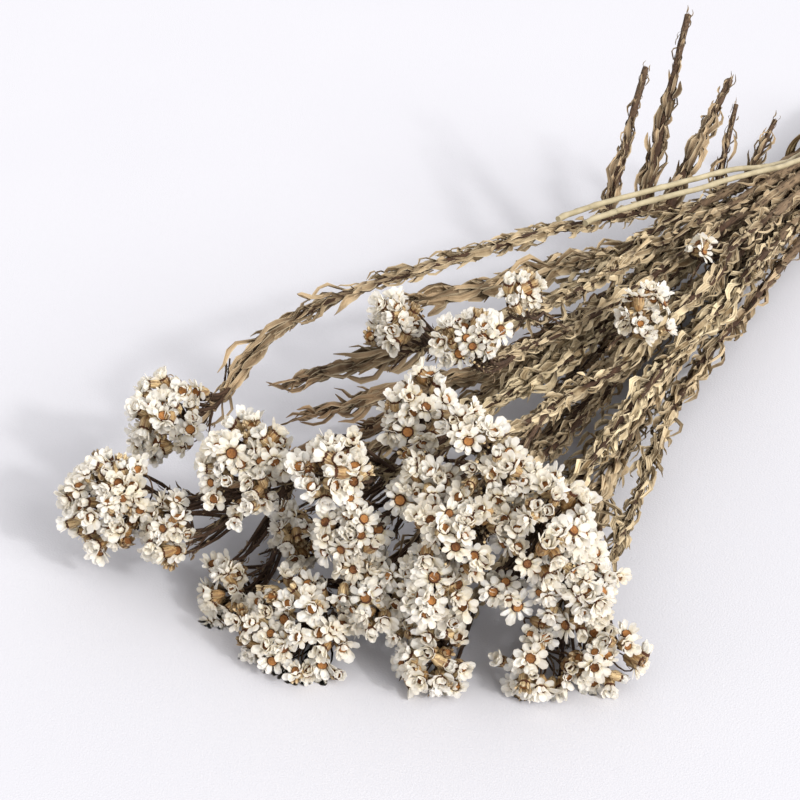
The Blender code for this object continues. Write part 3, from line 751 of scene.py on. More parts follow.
class Finish(Shading):
    """A material that is being made round its Principled shader."""

    def __init__(self, name, roughness):
        self.material = bpy.data.materials.new(name)
        self.material.use_nodes = True
        super().__init__(self.material.node_tree)
        self.shader = self.group.nodes["Principled BSDF"]
        self.shader.inputs["Roughness"].default_value = roughness
        self.shader.inputs["Specular IOR Level"].default_value = SPECULAR

    def tinted(self, pale, dark, tint, blotches):
        """A dry colour. The tint is a number, or the name of one that the mesh carries."""
        tint = self.mark(tint) if isinstance(tint, str) else tint
        options = {"Pale": hue(pale), "Dark": hue(dark), "node_tree": DRY_TINT}
        return self.put("ShaderNodeGroup", Tint=tint, Blotches=blotches, **options)

    def end(self, colour, layers=(), fibres=None, bump=None):
        """Lays colours over the first one and adds a bump.

        A layer has the mark that it follows, where it starts and where it is full, its share and its
        colour. Fibres have the lines across, the scale of the grain and the depth.
        """
        for mark, low, high, share, code in layers:
            mask = self.ramp(abs(self.mark(mark)), low, high)
            colour = self.blend(mask * share, colour, hue(code))
        self.feed(self.shader.inputs["Base Color"], colour)
        if fibres:
            lines, grain, depth = fibres
            options = {"Lines": lines, "Grain": grain, "node_tree": FIBRES}
            bump = (depth, self.put("ShaderNodeGroup", Across=self.mark("across"), **options))
        if bump:
            normal = self.put("ShaderNodeBump", Distance=bump[0], Height=bump[1])
            self.feed(self.shader.inputs["Normal"], normal)
        return self.material


# %% [markdown]
# The white bracts look like petals but are dry scales, thin as paper: bright, warm at their foot, with a
# little light coming through. The disc is a button of dried florets, tan in the middle with a dark rim.
# The cup under it is made of straw-coloured scales, which are brown at their edges.

# %% Finishes of the daisies
BRACT_LIGHT = {
    "Subsurface Weight": 0.7,
    "Subsurface Scale": 0.001,
    "Subsurface Radius": (1.0, 0.92, 0.8),
}

finish = Finish("papery_bract", 0.62)
for name, value in BRACT_LIGHT.items():
    finish.shader.inputs[name].default_value = value
colour = finish.tinted("fbf7ee", "ece1c9", "tint", 260.0)
BRACT = finish.end(colour, [("along", 0.45, 0.02, 1.0, "cdb888")], (8.0, 700.0, 0.00004))

finish = Finish("dried_disc", 0.75)
colour = finish.tinted("a3713f", "5c371e", "tint", 1500.0)
DISC = finish.end(colour, [("along", 0.45, 0.8, 1.0, "4a2a18")], (0.0, 2200.0, 0.0003))

finish = Finish("straw_cup", 0.5)
colour = finish.tinted("d8c094", "9c7748", "tint", 420.0)
pale_tip = ("along", 0.5, 1.0, 0.5, "efe3c6")
brown_edge = ("across", 0.3, 1.0, 0.75, "68452a")
CUP = finish.end(colour, [pale_tip, brown_edge], (9.0, 800.0, 0.0002))
print("daisy finishes:", BRACT.name, DISC.name, CUP.name)

# %% [markdown]
# Leaves are khaki, and browner near the tie and on some stems. Where they lie on the left and low in the
# bunch they are darker: that is painted shade, on the side away from the window and underneath. The bare
# wood near the tie is greyish brown. It is darker where leaves cover it, which is painted shade under the
# leaves, and on the twigs below the flowers; on the left and low down it has the same painted shade as the
# leaves. Its grain is a noise that is stretched along Y, as the stems are. The cut ends show pale wood.

# %% Finishes of the stems
GRAIN_STRETCH = (1.0, 0.12, 1.0)
GRAIN_DEPTH = 0.0008

finish = Finish("dried_leaf", 0.7)
khaki_and_lit = finish.tinted("e0cfac", "756042", "tint", 130.0)
brown_and_shaded = finish.tinted("96785a", "382619", "tint", 130.0)
# Each leaf is darker at its foot: painted shade where it meets the stem, and partly a browner foot
shaded_leaf_foot = ("along", 0.4, 0.0, 0.8, "3f2c1e")
pale_edge = ("across", 0.5, 1.0, 0.35, "d8cbae")
# Khaki to dark brown: a browner colour near the tie and by chance, and painted shade on the left and low down
colour = finish.blend(finish.mark("age"), khaki_and_lit, brown_and_shaded)
LEAF = finish.end(colour, [shaded_leaf_foot, pale_edge], (8.0, 700.0, 0.0002))

finish = Finish("bark", 0.85)
# Wood is darker where the leaves cover it: painted shade under the leaves
shaded_under_leaves = finish.ramp(finish.mark("leafy"), 0.3, 0.9)
share = finish.ramp(finish.mark("age"), 0.5, 0.9).math("MAXIMUM", shaded_under_leaves)
pale = finish.tinted("a08a6f", "66523f", 0.4, 220.0)
dark = finish.tinted("50392b", "2a1d15", 0.4, 320.0)
grain = finish.noise(Vector=finish.place() * GRAIN_STRETCH, Scale=1300.0, Detail=3.0)
crack = finish.ramp(grain, 0.52, 0.36) * 0.75
colour = finish.blend(crack, finish.blend(share, pale, dark), hue("33251b"))
BARK = finish.end(colour, bump=(GRAIN_DEPTH, grain))

finish = Finish("cut_wood", 0.8)
CUT_WOOD = finish.end(finish.tinted("d9c49a", "96794f", 0.3, 900.0))
print("stem finishes:", LEAF.name, BARK.name, CUT_WOOD.name)

# %% Finishes of the straws, the raffia and the table
TABLE_SIZE = 6

finish = Finish("bare_straw", 0.42)
STRAW = finish.end(finish.tinted("b9ae92", "85795d", 0.4, 160.0), (), (0.0, 500.0, 0.0001))

finish = Finish("raffia", 0.55)
dark_edge = ("across", 0.55, 1.0, 0.85, "5e4527")
colour = finish.tinted("d2bd92", "8d7249", 0.45, 240.0)
RAFFIA = finish.end(colour, [dark_edge], (14.0, 900.0, 0.0004))

finish = Finish("white_cloth", 0.9)
noise = finish.noise(Vector=finish.place(), Scale=9.0, Detail=2.0)
weave = finish.noise(Vector=finish.place(), Scale=1500.0)
CLOTH = finish.end(finish.blend(noise, hue("cacbd4"), hue("cdced6")), bump=(0.0001, weave))

bpy.ops.mesh.primitive_plane_add(size=TABLE_SIZE, location=(0, 0, 0))
table = bpy.context.object
table.name = "table"
table.data.materials.append(CLOTH)
print("the table is", table.dimensions.x, "m wide")

# %% [markdown]
# ## Straps
#
# A leaf, a bract and a cup's scale are the same kind of thing: a thin strap with an outline, which may be
# bowed, twisted and folded along its middle. A `Body` collects lofted straps and rings into one mesh, with
# the numbers that the finishes read.

# %% A body made of lofted rings
CREASE = math.radians(55)


def write_marks(mesh, marks):
    """Gives the points of a mesh their named numbers."""
    for key, values in marks.items():
        mesh.attributes.new(key, "FLOAT", "POINT").data.foreach_set("value", values)


class Body:
    """Points and faces of a mesh that is being made, with numbers for each point."""

    def __init__(self):
        self.points = []
        self.faces = []
        self.marks = {"along": [], "across": [], "part": []}

    def loft(self, rings, along, across_ring, part):
        """Joins rings with equal numbers of points, and closes both ends."""
        first = len(self.points)
        count = len(rings[0])
        for ring, far in zip(rings, along):
            self.points.extend(tuple(point) for point in ring)
            self.marks["along"].extend([far] * count)
            self.marks["across"].extend(across_ring)
            self.marks["part"].extend([part] * count)
        for row in range(len(rings) - 1):
            low = first + row * count
            for i in range(count):
                j = (i + 1) % count
                self.faces.append((low + i, low + j, low + count + j, low + count + i))
        self.faces.append(tuple(range(first + count - 1, first - 1, -1)))
        last = first + (len(rings) - 1) * count
        self.faces.append(tuple(range(last, last + count)))

    def mesh(self, name):
        mesh = bpy.data.meshes.new(name)
        mesh.from_pydata(self.points, [], self.faces)
        bm = bmesh.new()
        bm.from_mesh(mesh)
        bmesh.ops.recalc_face_normals(bm, faces=bm.faces)
        bm.to_mesh(mesh)
        bm.free()
        write_marks(mesh, self.marks)
        mesh.shade_smooth()
        mesh.set_sharp_from_angle(angle=CREASE)
        return mesh


# %% A strap
STRAP_ACROSS = (-1.0, 0.0, 1.0, 0.0)
STRAP_THINNING = 0.75


def strap(length, width, outline, bend=0.0, twist=0.0, fold=0.0, thickness=0.2 * MM, wave=0.0):
    """Rings of a thin strap from the origin along +Z, with its inner face to +X, and where each lies.

    Outline: pairs of a share of the length and a share of the width. Bend is the angle that it turns
    through towards +X, wave turns it to and fro on the way, twist turns it about its own line, and
    fold lifts its edges. It is thinnest at its tip.
    """
    rings = []
    centre = vec((0, 0, 0))
    before = 0.0
    for share, wide in outline:
        half = width / 2 * wide
        middle = (share + before) / 2
        angle = bend * middle + wave * math.sin(2 * math.pi * middle)
        centre = centre + vec((math.sin(angle), 0, math.cos(angle))) * length * (share - before)
        before = share
        angle = bend * share + wave * math.sin(2 * math.pi * share)
        inner = vec((math.cos(angle), 0, -math.sin(angle)))
        turn = twist * share
        face = inner * math.cos(turn) + vec((0, 1, 0)) * math.sin(turn)
        side = vec((0, 1, 0)) * math.cos(turn) - inner * math.sin(turn)
        lifted = centre + face * fold * half
        deep = face * thickness / 2 * (1 - STRAP_THINNING * share)
        rings.append([lifted - side * half, centre + deep, lifted + side * half, centre - deep])
    return rings, [share for share, _ in outline]


# %% [markdown]
# ## Leaves
#
# The leaves are narrow straps of 5 to 20 mm. Dry ones curl, twist and roll their edges. A few kinds are
# enough, because each one on the stem is turned and scaled by chance.

# %% The kinds of leaf
LEAF_OUTLINE = ((0, 0.5), (0.2, 0.9), (0.42, 1.0), (0.63, 0.85), (0.83, 0.55), (1.0, 0.12))
LEAF_LENGTH = 12.8 * MM
LEAF_WIDTH = 2.05 * MM
LEAF_THICK = 0.4 * MM
# Length and width as shares, then bend, twist, fold and wave of each kind
LEAF_FORMS = (
    (1.0, 1.15, -0.6, 0.3, 0.4, 0.25),
    (1.2, 0.75, -0.4, -0.7, 0.6, -0.35),
    (0.85, 1.3, -0.8, 0.5, -0.5, 0.35),
    (1.15, 0.9, -0.35, -1.2, 0.6, 0.5),
    (0.7, 1.2, -0.4, 0.9, 0.8, 0.2),
    (1.2, 0.75, -0.55, 1.3, -0.7, 0.35),
    (1.05, 1.0, -0.1, 1.9, 0.9, -0.4),
    (1.15, 0.75, -0.65, -1.5, 0.9, 0.4),
    (1.0, 0.85, -0.2, 0.8, 1.0, -0.5),
    (0.6, 1.1, 0.25, -0.8, 0.9, 0.25),
)


def kinds_of(name, meshes):
    """A collection of the kinds, which Geometry Nodes pick from by number."""
    collection = bpy.data.collections.new(name)
    for i, mesh in enumerate(meshes):
        collection.objects.link(bpy.data.objects.new(f"{name}_{i}", mesh))
    return collection


def leaf_mesh(length, width, *form):
    bend, twist, fold, wave = form
    size = (LEAF_LENGTH * length, LEAF_WIDTH * width)
    rings, along = strap(*size, LEAF_OUTLINE, bend, twist, fold, LEAF_THICK, wave)
    body = Body()
    body.loft(rings, along, STRAP_ACROSS, 0)
    return body.mesh("leaf_kind")


LEAF_KINDS = kinds_of("leaf_kind", [leaf_mesh(*form) for form in LEAF_FORMS])

# %% [markdown]
# ## Daisies
#
# One daisy is a disc of about 4 mm on a cup of scales, with six to eight bracts round it, 9 to 10 mm
# across in all. The kinds go roughly from wide open to a closed bud, so that a tree can choose a more
# closed one near the rim of a cluster.

# %% The parts of a daisy
BRACT_OUTLINE = ((0, 0.38), (0.38, 0.8), (0.74, 1.0), (1.0, 0.45))
SCALE_OUTLINE = ((0, 0.85), (1.0, 0.2))
BRACT_LENGTH = 3.7 * MM
BRACT_WIDTH = 2.55 * MM
BRACT_THICK = 0.18 * MM
BRACT_FOOT = 1.4 * MM
DISC_SIDES = 8
DISC_RINGS = ((1.7, -0.9), (1.8, 0.35), (1.4, 0.75), (0.7, 0.45))
CUP_SIDES = 8
CUP_RINGS = ((0.5, -5.0), (1.2, -4.2), (2.0, -2.3), (1.75, -0.3))
# Radius, height, count, length and width of each row of scales, in millimetres but for the count
SCALE_ROWS = ((1.3, -4.1, 5, 2.2, 1.5), (1.9, -2.7, 7, 2.7, 1.6))
PART_BRACT, PART_DISC, PART_CUP = 0.0, 1.0, 2.0


def place_strap(rings, azimuth, opening, radius, height):
    """Sets a strap on a daisy: its foot at a radius and height, leaning out by its opening angle."""
    out_way = vec((math.cos(azimuth), math.sin(azimuth), 0))
    up = vec((0, 0, 1))
    along = math.sin(opening) * out_way + math.cos(opening) * up
    face = math.sin(opening) * up - math.cos(opening) * out_way
    side = np.cross(along, face)
    foot = out_way * radius + up * height
    return [[foot + p[0] * face + p[1] * side + p[2] * along for p in ring] for ring in rings]


def add_bracts(body, draw, count, opening, scale, bend, width, part):
    """A whorl of bracts. Each differs a little in size, lean and bend."""
    start = draw.uniform(0, 2 * math.pi)
    for i in range(count):
        azimuth = start + (i + draw.uniform(-0.25, 0.25)) * 2 * math.pi / count
        size = scale * draw.uniform(0.82, 1.12)
        rings, along = strap(
            BRACT_LENGTH * size,
            width * size * draw.uniform(0.8, 1.05),
            BRACT_OUTLINE,
            bend + draw.uniform(-0.45, 0.45),
            draw.uniform(-0.6, 0.6),
            draw.uniform(0.1, 0.65),
            BRACT_THICK,
        )
        lean = opening + draw.uniform(-0.22, 0.22)
        body.loft(place_strap(rings, azimuth, lean, BRACT_FOOT, 0), along, STRAP_ACROSS, part)


def add_scales(body, draw, radius, height, count, length, width):
    """A row of scales on the cup."""
    for i in range(count):
        rings, along = strap(length * MM, width * MM, SCALE_OUTLINE, bend=0.5, fold=0.3)
        azimuth = (i + draw.uniform(-0.2, 0.2)) * 2 * math.pi / count
        lean = math.radians(draw.uniform(10, 30))
        placed = place_strap(rings, azimuth, lean, radius * MM, height * MM)
        body.loft(placed, along, STRAP_ACROSS, PART_CUP)


def lathed(rings, sides, bump=0.0):
    """Rings round the axis from (radius, height) pairs in millimetres, every other point raised."""
    angles = np.arange(sides) * 2 * math.pi / sides
    made = []
    for row, (radius, height) in enumerate(rings):
        raised = bump * (-1) ** (np.arange(sides) + row)
        x, y = radius * np.cos(angles), radius * np.sin(angles)
        made.append(np.column_stack([x, y, height + raised]) * MM)
    return made


# %% The kinds of daisy
# Bracts in the outer and inner whorl, their openings in degrees, their size, bend and width. The last kind
# has lost its colour: its bracts look like the cup.
DAISY_FORMS = (
    (8, 82, 0, 0, 1.06, 0.0, 0.95),
    (8, 76, 3, 58, 1.06, 0.1, 1.0),
    (8, 68, 5, 46, 1.0, 0.3, 1.1),
    (8, 56, 6, 32, 1.0, 0.3, 1.15),
    (8, 72, 6, 24, 1.02, -0.2, 1.1),
    (7, 46, 6, 20, 1.02, 0.3, 1.2),
    (7, 34, 5, 12, 1.0, 0.4, 1.2),
    (6, 16, 4, 4, 0.9, 0.4, 1.2),
    (8, 34, 5, 16, 0.7, 0.5, 1.0),
)
# The inner whorl against the outer one: its size, and how much more it bends
INNER_SIZE = 0.82
INNER_BEND = 0.3


def daisy_mesh(draw, outer, opening, inner, inner_opening, size, bend, width, part):
    body = Body()
    width *= BRACT_WIDTH
    add_bracts(body, draw, outer, math.radians(opening), size, bend, width, part)
    opening = math.radians(inner_opening)
    add_bracts(body, draw, inner, opening, size * INNER_SIZE, bend + INNER_BEND, width, part)
    disc = lathed(DISC_RINGS, DISC_SIDES, 0.12)
    body.loft(disc, (1.0, 1.0, 0.7, 0.0), [0.0] * DISC_SIDES, PART_DISC)
    cup = lathed(CUP_RINGS, CUP_SIDES)
    body.loft(cup, (0.0, 0.1, 0.25, 0.4), [0.0, 1.0] * (CUP_SIDES // 2), PART_CUP)
    for row in SCALE_ROWS:
        add_scales(body, draw, *row)
    return body.mesh("daisy_kind")


draw = np.random.default_rng(SEED)
whorl_parts = [PART_BRACT] * (len(DAISY_FORMS) - 1) + [PART_CUP]
meshes = [daisy_mesh(draw, *form, part) for form, part in zip(DAISY_FORMS, whorl_parts)]
DAISY_KINDS = kinds_of("daisy_kind", meshes)
print("faces of each daisy:", [len(mesh.polygons) for mesh in meshes])

# %% [markdown]
# ## Growing things with Geometry Nodes
#
# A tree starts with its named inputs and their usual values. `grow` puts it on a mesh as a modifier, sets
# the inputs by the identifiers of their sockets, and keeps the result as a plain mesh.

# %% Steps that grow things
BOX_MARGIN = 0.1 * MM
BOX_CORNERS = {
    "Low corner": tuple(x + BOX_MARGIN for x in CAD_BOX[0]),
    "High corner": tuple(x - BOX_MARGIN for x in CAD_BOX[1]),
}
MIDDLE_GREY = (0.5, 0.5, 0.5)
SOCKET_KINDS = {
    float: "Float",
    int: "Int",
    tuple: "Vector",
    bpy.types.Collection: "Collection",
    bpy.types.Material: "Material",
    bpy.types.Object: "Object",
}


class GrowingTree(Group):
    """A Geometry Nodes tree that is being made. A usual value says what kind its input is."""

    def __init__(self, name, usual):
        self.usual = {**usual, "Seed": 0}
        kinds = {label: SOCKET_KINDS[type(value)] for label, value in self.usual.items()}
        inputs = {"Geometry": "Geometry", **kinds}
        super().__init__("GeometryNodeTree", name, inputs, {"Geometry": "Geometry"})

    def geo(self, kind, *values, **words):
        return self.put("GeometryNode" + kind, *values, **words)

    def chance(self, low, high, stream, kind="FLOAT"):
        """A random number for each point. Each stream gives other numbers from the same seed."""
        options = {"Min": low, "Max": high, "data_type": kind}
        return self.put("FunctionNodeRandomValue", Seed=self.given["Seed"] + stream, **options)

    def named(self, name, kind="FLOAT"):
        """A number or vector that the points carry."""
        return self.geo("InputNamedAttribute", Name=name, data_type=kind)

    def store(self, geometry, name, value, domain="POINT", kind="FLOAT"):
        options = {"data_type": kind, "domain": domain}
        return self.geo("StoreNamedAttribute", Geometry=geometry, Name=name, Value=value, **options)

    def move(self, geometry, **words):
        return self.geo("SetPosition", Geometry=geometry, **words)

    def drift(self, geometry, amount, **words):
        """Moves the points to and fro by a smooth noise."""
        offset = (self.noise(**words)["Color"] - MIDDLE_GREY) * amount
        return self.move(geometry, Offset=offset)

    def turn(self, way, axis, angle):
        """A rotation turned further about one of its own axes."""
        by = self.put("FunctionNodeAxisAngleToRotation", Axis=axis, Angle=angle)
        options = {"Rotate_By": by, "rotation_space": "LOCAL"}
        return self.put("FunctionNodeRotateRotation", Rotation=way, **options)

    def set_kinds(self, points, kinds, pick, way, size, stream):
        """One of the kinds on each point, with a tint of its own."""
        options = {"Separate_Children": True, "Reset_Children": True}
        kinds = self.geo("CollectionInfo", Collection=self.given[kinds], **options)
        options = {"Pick_Instance": True, "Instance_Index": pick, "Rotation": way, "Scale": size}
        things = self.geo("InstanceOnPoints", Points=points, Instance=kinds, **options)
        things = self.store(things, "tint", self.chance(0.0, 1.0, stream), "INSTANCE")
        return self.geo("RealizeInstances", Geometry=things)

    def circle(self, sides):
        return self.geo("CurvePrimitiveCircle", Resolution=sides, Radius=1.0)

    def sweep(self, curve, profile, scale):
        """A solid with closed ends, swept along a curve."""
        options = {"Profile_Curve": profile, "Scale": scale, "Fill_Caps": True}
        return self.geo("CurveToMesh", Curve=curve, **options)

    def paint(self, geometry, material, **words):
        """Sets the material that the input of this name holds."""
        return self.geo("SetMaterial", Geometry=geometry, Material=self.given[material], **words)

    def smooth(self, geometry):
        return self.geo("SetShadeSmooth", Geometry=geometry, Shade_Smooth=True)

    def join_inside(self, *parts):
        """Joins the parts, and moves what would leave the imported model's box back to its side."""
        joined = self.geo("JoinGeometry")
        for part in parts:
            self.feed(joined.socket.node.inputs[0], part)
        place = self.geo("InputPosition").math("MAXIMUM", self.given["Low corner"])
        place = place.math("MINIMUM", self.given["High corner"])
        self.end(self.move(self.smooth(joined), Position=place))

    def grow(self, name, mesh, own_values):
        """Runs the tree on a mesh, and returns what it grew as a plain mesh object at the origin."""
        values = {**self.usual, **own_values}
        start = bpy.data.objects.new(name + "_start", mesh)
        bpy.context.scene.collection.objects.link(start)
        modifier = start.modifiers.new("grow", "NODES")
        modifier.node_group = self.group
        for item in self.group.interface.items_tree:
            if item.in_out == "INPUT" and item.name in values:
                modifier[item.identifier] = values[item.name]
        graph = bpy.context.evaluated_depsgraph_get()
        grown = bpy.data.meshes.new_from_object(start.evaluated_get(graph))
        bpy.data.objects.remove(start)
        bpy.data.meshes.remove(mesh)
        grown.name = name
        piece = bpy.data.objects.new(name, grown)
        bpy.context.scene.collection.objects.link(piece)
        return piece


# %% [markdown]
# ## Leafy stems
#
# The tree gets a stem as lines of points, each with the wood's thickness, how leafy it is there, and how
# brown it is together with its painted shade. It sweeps a round profile along the lines for the wood, and
# sets a point on them every 0.8 mm. Each point is turned from the last one by the golden angle and gets a
# leaf, which leans away from the stem.
# Real leaves sit in just such a spiral.

# %% The tree for leafy stems
GOLDEN_ANGLE = math.radians(137.5)
WOOD_SIDES = 7
# The wood is uneven: its thinnest place, and how much thicker the thickest is, as shares
WOOD_THINNEST = 0.65
WOOD_SWELL = 0.7
# A leaf strays this far from its place in the spiral, as an angle, and leans by chance times its lean
STRAY = 1.2
LEAN_CHANCE = (0.4, 1.45)
# A leaf's foot is sunk this far into the wood, as a share of its thickness
FOOT_DEPTH = 0.85
# Leaves lie this far apart in the crumpling noise, so that no two crumple alike
CRUMPLE_STEP = 60.0
STEM_INPUTS = {
    **BOX_CORNERS,
    "Leaf kinds": LEAF_KINDS,
    "Leaf pitch": 0.78 * MM,
    "Smallest leaf": 0.6,
    "Largest leaf": 1.2,
    "Wobble": 1.6 * MM,
    "Crinkle": 3.6 * MM,
    "Leaf": LEAF,
    "Bark": BARK,
    "Cut wood": CUT_WOOD,
}


def add_wood(tree, curve):
    """The wood: a swept profile with an uneven surface, and another finish on its cut ends."""
    uneven = tree.noise(Scale=420.0, Detail=1.0) * WOOD_SWELL + WOOD_THINNEST
    wood = tree.sweep(curve, tree.circle(WOOD_SIDES), tree.named("thick") * uneven)
    corners = tree.geo("InputMeshFaceNeighbors")["Vertex Count"]
    cap = tree.compare(corners, 4, data_type="INT")
    return tree.paint(tree.paint(wood, "Bark"), "Cut wood", Selection=cap)


def add_leaves(tree, curve):
    """The leaves: points along the curve, turned by the golden angle, with a leaning leaf on each."""
    given = tree.given
    points = tree.geo("CurveToPoints", Curve=curve, Length=given["Leaf pitch"], mode="LENGTH")
    bare = tree.compare(tree.chance(0.03, 1.0, 0), tree.named("leafy"))
    seats = tree.geo("DeleteGeometry", Geometry=points, Selection=bare)
    axes = (points["Tangent"], points["Normal"])
    way = tree.put("FunctionNodeAxesToRotation", *axes, primary_axis="Z", secondary_axis="X")
    spiral = tree.geo("InputIndex") * GOLDEN_ANGLE
    way = tree.turn(way, (0, 0, 1), spiral + tree.chance(-STRAY, STRAY, 1))
    reach = tree.put("ShaderNodeCombineXYZ", X=tree.named("thick") * FOOT_DEPTH)
    outward = tree.put("FunctionNodeRotateVector", Vector=reach, Rotation=way)
    seats = tree.move(seats, Offset=outward)
    lean = tree.chance(*LEAN_CHANCE, 2).math("POWER", 2.0) * tree.named("lean")
    size = tree.chance(given["Smallest leaf"], given["Largest leaf"], 3) * tree.named("leaf_size")
    kind = tree.chance(0, len(LEAF_FORMS) - 1, 4, "INT")
    leaning = tree.turn(way, (0, 1, 0), lean)
    leaves = tree.set_kinds(seats, "Leaf kinds", kind, leaning, size, 5)
    noise = {"W": tree.named("tint") * CRUMPLE_STEP, "Scale": 130.0, "Detail": 0.0}
    leaves = tree.drift(leaves, given["Crinkle"], noise_dimensions="4D", **noise)
    return tree.paint(leaves, "Leaf")


def make_stem_tree():
    tree = GrowingTree("leafy stem", STEM_INPUTS)
    curve = tree.geo("MeshToCurve", Mesh=tree.given["Geometry"])
    curve = tree.drift(curve, tree.given["Wobble"], Scale=45.0, Detail=1.0)
    tree.join_inside(add_leaves(tree, curve), add_wood(tree, curve))
    return tree


STEM_TREE = make_stem_tree()
print("nodes in the stem tree:", len(STEM_TREE.group.nodes))

# %% [markdown]
# The lines for one stem are its own path, its branchlets, its side shoots, and the fine bare twigs just
# below the flowers. Wood is thick at the foot and thin at the top. Leaves are dense up the stem, and thin
# out towards the bare branchlets. Stems on the left and low in the bunch are darker: that is painted
# shade, on the side away from the window and underneath.

# %% The lines of one stem
LINE_STEP = 3 * MM
LEAN = math.radians(13)
SHOOT_LEAN = math.radians(7)
# A shoot with this radius at its foot, in millimetres, has leaves of the usual size
SHOOT_FOOT = 2.0
SHOOT_AGE = 0.7
TWIG_AGE = 0.8
FINE_TWIG_AGE = 0.85
# Leaves are longer in tufts: by this share, and about this far apart
TUFT = 0.3
TUFT_PITCH = 14 * MM
# The stem without flowers is leafy to its very end
LEAFY_TO_THE_END = "s"


def spread(line, step=LINE_STEP):
    """The same line with points at even steps."""
    along = lengths_along(line)
    marks = np.linspace(0, along[-1], max(3, round(along[-1] / step) + 1))
    return place_at(marks, along, line), marks


def age_and_shade_of(points, extra):
    """How dark the leaves and the wood are.

    More on the left side and low down is painted shade, away from the window and underneath. More near
    the tie and by each stem's chance is their own browner colour.
    """
    # Darker on the left and low down is painted shade, on the side away from the window and underneath
    left = np.clip((-points[:, 0] - 20 * MM) / (55 * MM), 0, 1)
    low = np.clip((36 * MM - points[:, 2]) / (30 * MM), 0, 1)
    near = np.clip((points[:, 1] + 160 * MM) / (60 * MM), 0, 1)
    return np.clip(0.6 * left + 0.5 * low + 0.2 * near + extra, 0, 1)


def stem_line(strand, draw):
    """Points of a stem, with its thickness, leafiness, leaf size, lean and brownness at each.

    The brownness holds painted shade on the left and low in the bunch.
    """
    points, marks = spread(strand.points(SLICE))
    length = marks[-1]
    ones = np.ones(len(marks))
    foot = 0 if strand.parent else strand.foot
    if strand.kind == "twig":
        thick = np.interp(marks, (0, length), (1.0, 0.7))
        leafy = np.interp(marks, (0, 12 * MM, length), (0.6, 0.45, 0.2))
        size = 0.5 * ones
        age = TWIG_AGE * ones
    elif strand.kind == "leafy_twig":
        thick = np.interp(marks, (0, length), (1.2, 0.6))
        leafy = ones
        size = np.interp(marks, (0, length - 25 * MM, length), (1.45, 1.45, 0.9))
        age = age_and_shade_of(points, draw.uniform(0.3, 0.55))
    else:
        neck, top = foot + 30 * MM, length - 60 * MM
        thick = np.interp(marks, (0, neck, neck + 60 * MM, top, length), (2.5, 2.35, 1.5, 1.1, 0.8))
        if strand.name == LEAFY_TO_THE_END:
            ends, upper = (1.0, 1.0), (1.0, 0.7)
        else:
            ends, upper = (0.6, 0.2), (0.65, 0.45)
        at = [foot + x * MM for x in (-34, -30, 14, 50, 105, 150)]
        at = (0, *at, *[length - x * MM for x in (50, 25, 0)])
        leafy = np.interp(marks, at, (0.12, 0.12, 0, 0.06, 0.45, 0.9, 1, 1, *ends))
        size = np.interp(marks, (0, foot + 60 * MM, *at[-3:]), (0.6, 1, 1, *upper))
        tufts = np.arange(0, length + TUFT_PITCH, TUFT_PITCH)
        tufts += draw.uniform(-0.4, 0.4, len(tufts)) * TUFT_PITCH
        size *= np.interp(marks, tufts, 1 + draw.uniform(-TUFT, TUFT, len(tufts)))
        age = age_and_shade_of(points, draw.uniform(-0.2, 0.5))
    return points, thick * MM, leafy, size, LEAN * ones, age


# %% The fine twigs of one stem
# How many twigs lead up to a cluster's rim and how many end below it: at least, and always fewer than
RIM_TWIGS = (8, 13)
LOW_TWIGS = (3, 6)
# How far below the stem's tip they start, and how long the low ones are, in millimetres
RIM_TWIG_START = (12, 50)
LOW_TWIG_START = (6, 45)
LOW_TWIG_LENGTH = (9, 18)
LOWEST_TIP = 1 * MM


def bare_twig(line, thick, leafy, size):
    """A line with the thickness of a twig and a few small leaves."""
    ones = np.ones(len(line))
    thick = np.linspace(*thick, len(line)) * MM
    return line, thick, leafy * ones, size * ones, LEAN * ones, FINE_TWIG_AGE * ones


def twig_foot(points, marks, draw, nearest, farthest):
    """A random place on the last stretch of a stem, the way that it goes there, and an angle."""
    at = marks[-1] - draw.uniform(nearest, farthest) * MM
    start, ahead = place_at(vec((at, at + 3 * MM)), marks, points)
    return start, unit(ahead - start), draw.uniform(0, 2 * math.pi)


def fine_twigs(strand, head, draw):
    """Bare little twigs round the last stretch below a cluster, and forks that lead up to its rim."""
    points, marks = spread(strand.points(SLICE))
    side, up = across(head.facing)
    made = []
    for _ in range(draw.integers(*RIM_TWIGS)):
        start, forward, angle = twig_foot(points, marks, draw, *RIM_TWIG_START)
        spoke = math.cos(angle) * side + math.sin(angle) * up
        reach = draw.uniform(0.4, 0.85) * spoke + draw.uniform(0.1, 0.4) * head.facing
        tip = head.middle + head.dome * reach
        tip[2] = max(tip[2], LOWEST_TIP)
        length = np.linalg.norm(tip - start)
        bulge = unit(forward + 0.5 * spoke)
        line = hermite(start, bulge * length, tip, head.facing * length * 0.7, 8)
        made.append(bare_twig(line, (0.75, 0.4), 0.25, 0.3))
    for _ in range(draw.integers(*LOW_TWIGS)):
        start, forward, angle = twig_foot(points, marks, draw, *LOW_TWIG_START)
        side, up = across(forward)
        outward = math.cos(angle) * side + math.sin(angle) * up
        length = draw.uniform(*LOW_TWIG_LENGTH) * MM
        tip = start + length * unit(forward + 0.6 * outward)
        tip[2] = max(tip[2], LOWEST_TIP)
        line = hermite(start, forward * length, tip, (forward + 0.9 * outward) * length * 0.6, 6)
        made.append(bare_twig(line, (0.5, 0.28), 0.4, 0.35))
    return made


